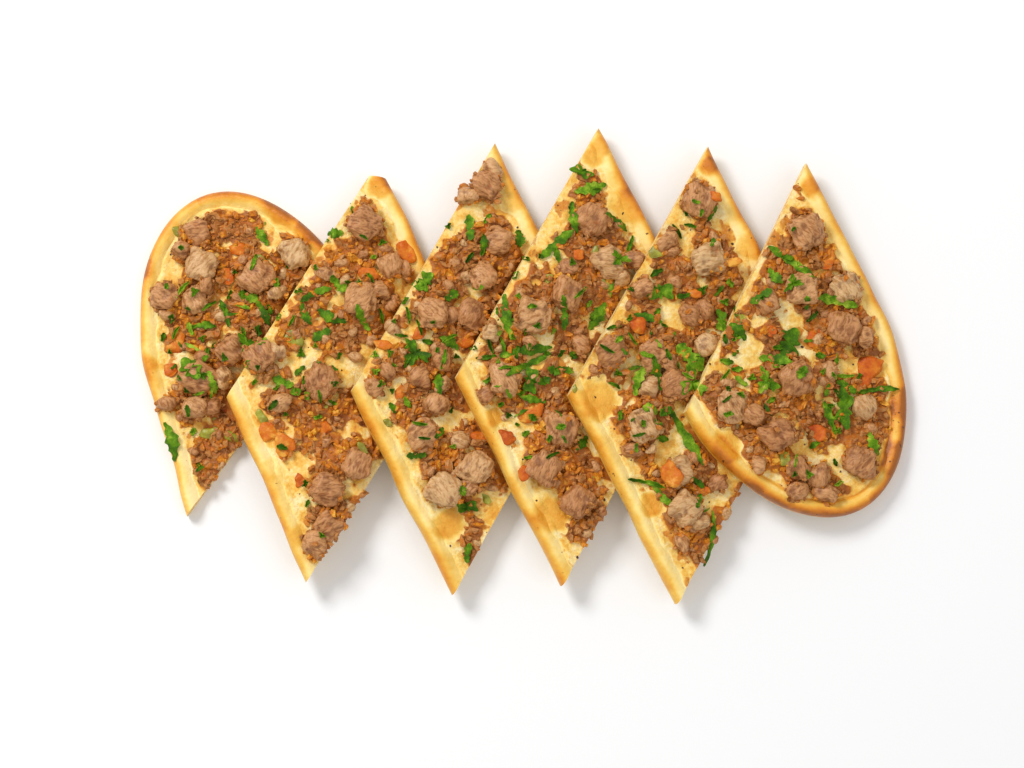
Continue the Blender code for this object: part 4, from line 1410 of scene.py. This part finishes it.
def top_of(ground):
    """Reads the height of what lies uppermost over a place."""
    tree = BVHTree.FromObject(ground, bpy.context.evaluated_depsgraph_get())

    def height(place):
        hit = tree.ray_cast(Vector((place.x, place.y, SKY)), Vector((0, 0, -1)))[0]
        return hit.z if hit else place.z

    return height


def listed(kind):
    """Everything of one kind that is placed one by one: its slice and its numbers."""
    return [(n, *numbers) for n in range(len(SLICES)) for numbers in SLICES[n][kind]]


def settled(kind, make, sink, draw):
    """The pieces of one kind, set on the present ground at their places and turned at random."""
    height = top_of(ground)
    placed = []
    for n, along, across, size in listed(kind):
        place = spot(n, along, across)
        place.z = height(place) - sink * size
        piece = make(size * MM)
        piece.data.transform(Matrix.Translation(place) @ Matrix.Rotation(draw.uniform(0, FULL_TURN), 4, "Z"))
        placed.append(tinted(piece, draw.random()))
    return placed


def kept(piece, slot, *nodes):
    """Ties a finished piece to the frame."""
    if nodes:
        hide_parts(*nodes)
    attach(piece, "root")
    return piece


def meat_nodes(n):
    """The names of the cubes of meat on a slice."""
    return [f"slice_{n + 1}_meat_{k + 1}" for k in range(8)]


def chunk(size):
    """A lump of meat smaller than the cubes."""
    piece = faceted(lump("one", 1.08 * size, chunk_draw, levels=3), chunk_draw, 7, 0.7)
    fibrous(piece, chunk_draw, 0.85)
    return clung_to(piece)


def chopped(kind, make, sink, dice, stretch, spacing, seed):
    """The placed pieces of tomato or pepper with small dice scattered between them, as one piece."""
    pieces = settled(kind, lambda size: torn(make(size), draw), sink, draw)
    shapes = [torn(lump("dice", dice, draw, flatness=0.45, stretch=stretch), draw) for _ in range(8)]
    pieces.append(scattered(
        kind + "_bits", bed, shapes, FINISH[kind], Mask="crumbs", Spacing=spacing, Seed=seed,
        Sink=-0.3 * MM))
    return kept(joined(kind, pieces, FINISH[kind]), "topping")


crusts, beds, cubes = [], [], []
for n in range(len(SLICES)):
    crusts.append(kept(bread(n, [FINISH["crust"], FINISH["crumb"]]), "bread", f"slice_{n + 1}_bread"))
    boxes = [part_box(name) for name in meat_nodes(n)]
    beds.append(kept(topping(n, boxes, [FINISH["topping"]] * 2), "topping", f"slice_{n + 1}_topping"))
    lumps_of_slice = [cube_of_meat(frame["nodes"][name], draw) for name in meat_nodes(n)]
    cubes.append(kept(joined(f"meat_cubes_{n + 1}", lumps_of_slice, FINISH["meat"]), "meat", *meat_nodes(n)))

bed = strewn_part(merged("bed", beds))

shapes = [lump("bit", draw.uniform(4.5, 8.5) * MM, draw) for _ in range(12)]
for shape in shapes:
    faceted(shape, draw, 7, 0.72)
    fibrous(shape, draw, 0.7)
small = scattered(
    "small_bits", bed, shapes, FINISH["meat"], Mask="crumbs", Spacing=9 * MM, Seed=3, Sink=1.6 * MM,
    Smallest=0.6, Largest=1.15)
ground = merged("ground", crusts + beds)
chunks = settled("lumps", chunk, 0.06 * MM, chunk_draw)
bpy.data.objects.remove(ground)
sides = merged("sides", cubes + chunks)
bits = kept(joined("meat_bits", chunks + [small], FINISH["meat"]), "meat")

shapes = [
    lump("crumb", 2.8 * MM, draw, levels=1, stretch=draw.uniform(1, 1.8), ragged=0.18) for _ in range(16)]
crumbs = kept(scattered(
    "mince_crumbs", bed, shapes, FINISH["mince"], Mask="crumbs", Spacing=2.2 * MM, Seed=5, Sink=1.0 * MM,
    Smallest=0.45, Largest=1.45, Lean=0.8), "topping")

shapes = [
    lump("crumb", 2.6 * MM, draw, levels=1, flatness=0.7, stretch=draw.uniform(1, 1.6), ragged=0.18)
    for _ in range(10)]
clinging = kept(scattered(
    "clinging_mince", sides, shapes, FINISH["mince"], Mask="cling", Spacing=2.3 * MM, Seed=6,
    Sink=0.2 * MM, Smallest=0.4, Largest=1.25, Lean=0.8), "topping")
bpy.data.objects.remove(sides)

ground = merged("ground", crusts + beds + cubes + [bits, clinging])
tomato = chopped(
    "tomato", lambda size: lump("one", 1.25 * size, draw, levels=3, flatness=0.2, stretch=1.1),
    sink=0.04 * MM, dice=3.6 * MM, stretch=1.3, spacing=15 * MM, seed=8)
pepper = chopped(
    "pepper", lambda size: lump("one", 0.85 * size, draw, levels=3, flatness=0.22, stretch=1.25),
    sink=0.03 * MM, dice=3.0 * MM, stretch=1.4, spacing=19 * MM, seed=9)

shapes = [lump("flake", 1.3 * MM, draw, levels=1, flatness=0.35) for _ in range(5)]
kept(scattered(
    "charred_bits", bed, shapes, FINISH["char"], Mask="bare", Spacing=13 * MM, Seed=12, Sink=0.1 * MM,
    Smallest=0.5, Largest=1.2), "topping")

bpy.data.objects.remove(ground)
ground = merged("ground", crusts + beds + cubes + [bits, crumbs, clinging, tomato, pepper])
herb = []
for n, along, across, length, turn, width in listed("parsley"):
    place = spot(n, along, across)
    if width >= LEAF_WIDTH and length < LEAF_LENGTH:
        piece = leaf("leaf", 1.5 * length * MM, draw, draw.choice((2, 3)))
    else:
        piece = blade("blade", length * MM, width * MM, draw.uniform(-0.35, 0.35), draw)
    piece.data.transform(Matrix.Translation(place) @ Matrix.Rotation(math.radians(turn), 4, "Z"))
    herb.append(tinted(piece, draw.uniform(0.1, 0.95)))
shapes = [leaf("leaf", draw.uniform(4, 8) * MM, draw, 2 + k % 2, segments=14) for k in range(6)]
for _ in range(6):
    length, width = draw.uniform(4, 9) * MM, draw.uniform(1.2, 2.4) * MM
    shapes.append(blade("blade", length, width, 0.2, draw, steps=8, strands=2))
herb.append(scattered(
    "parsley_bits", bed, shapes, FINISH["parsley"], Mask="herb", Spacing=5.4 * MM, Seed=15, Smallest=0.6,
    Largest=1.2))
parsley = joined("parsley", herb, FINISH["parsley"])
grown(parsley, DRAPE, {
    "Surface": ground, "Stiffness": 6, "Clearance": 0.25 * MM, "Material": FINISH["parsley"]})
kept(thickened(parsley, LEAF_THICKNESS), "topping")
bpy.data.objects.remove(ground)
bpy.data.objects.remove(bed)
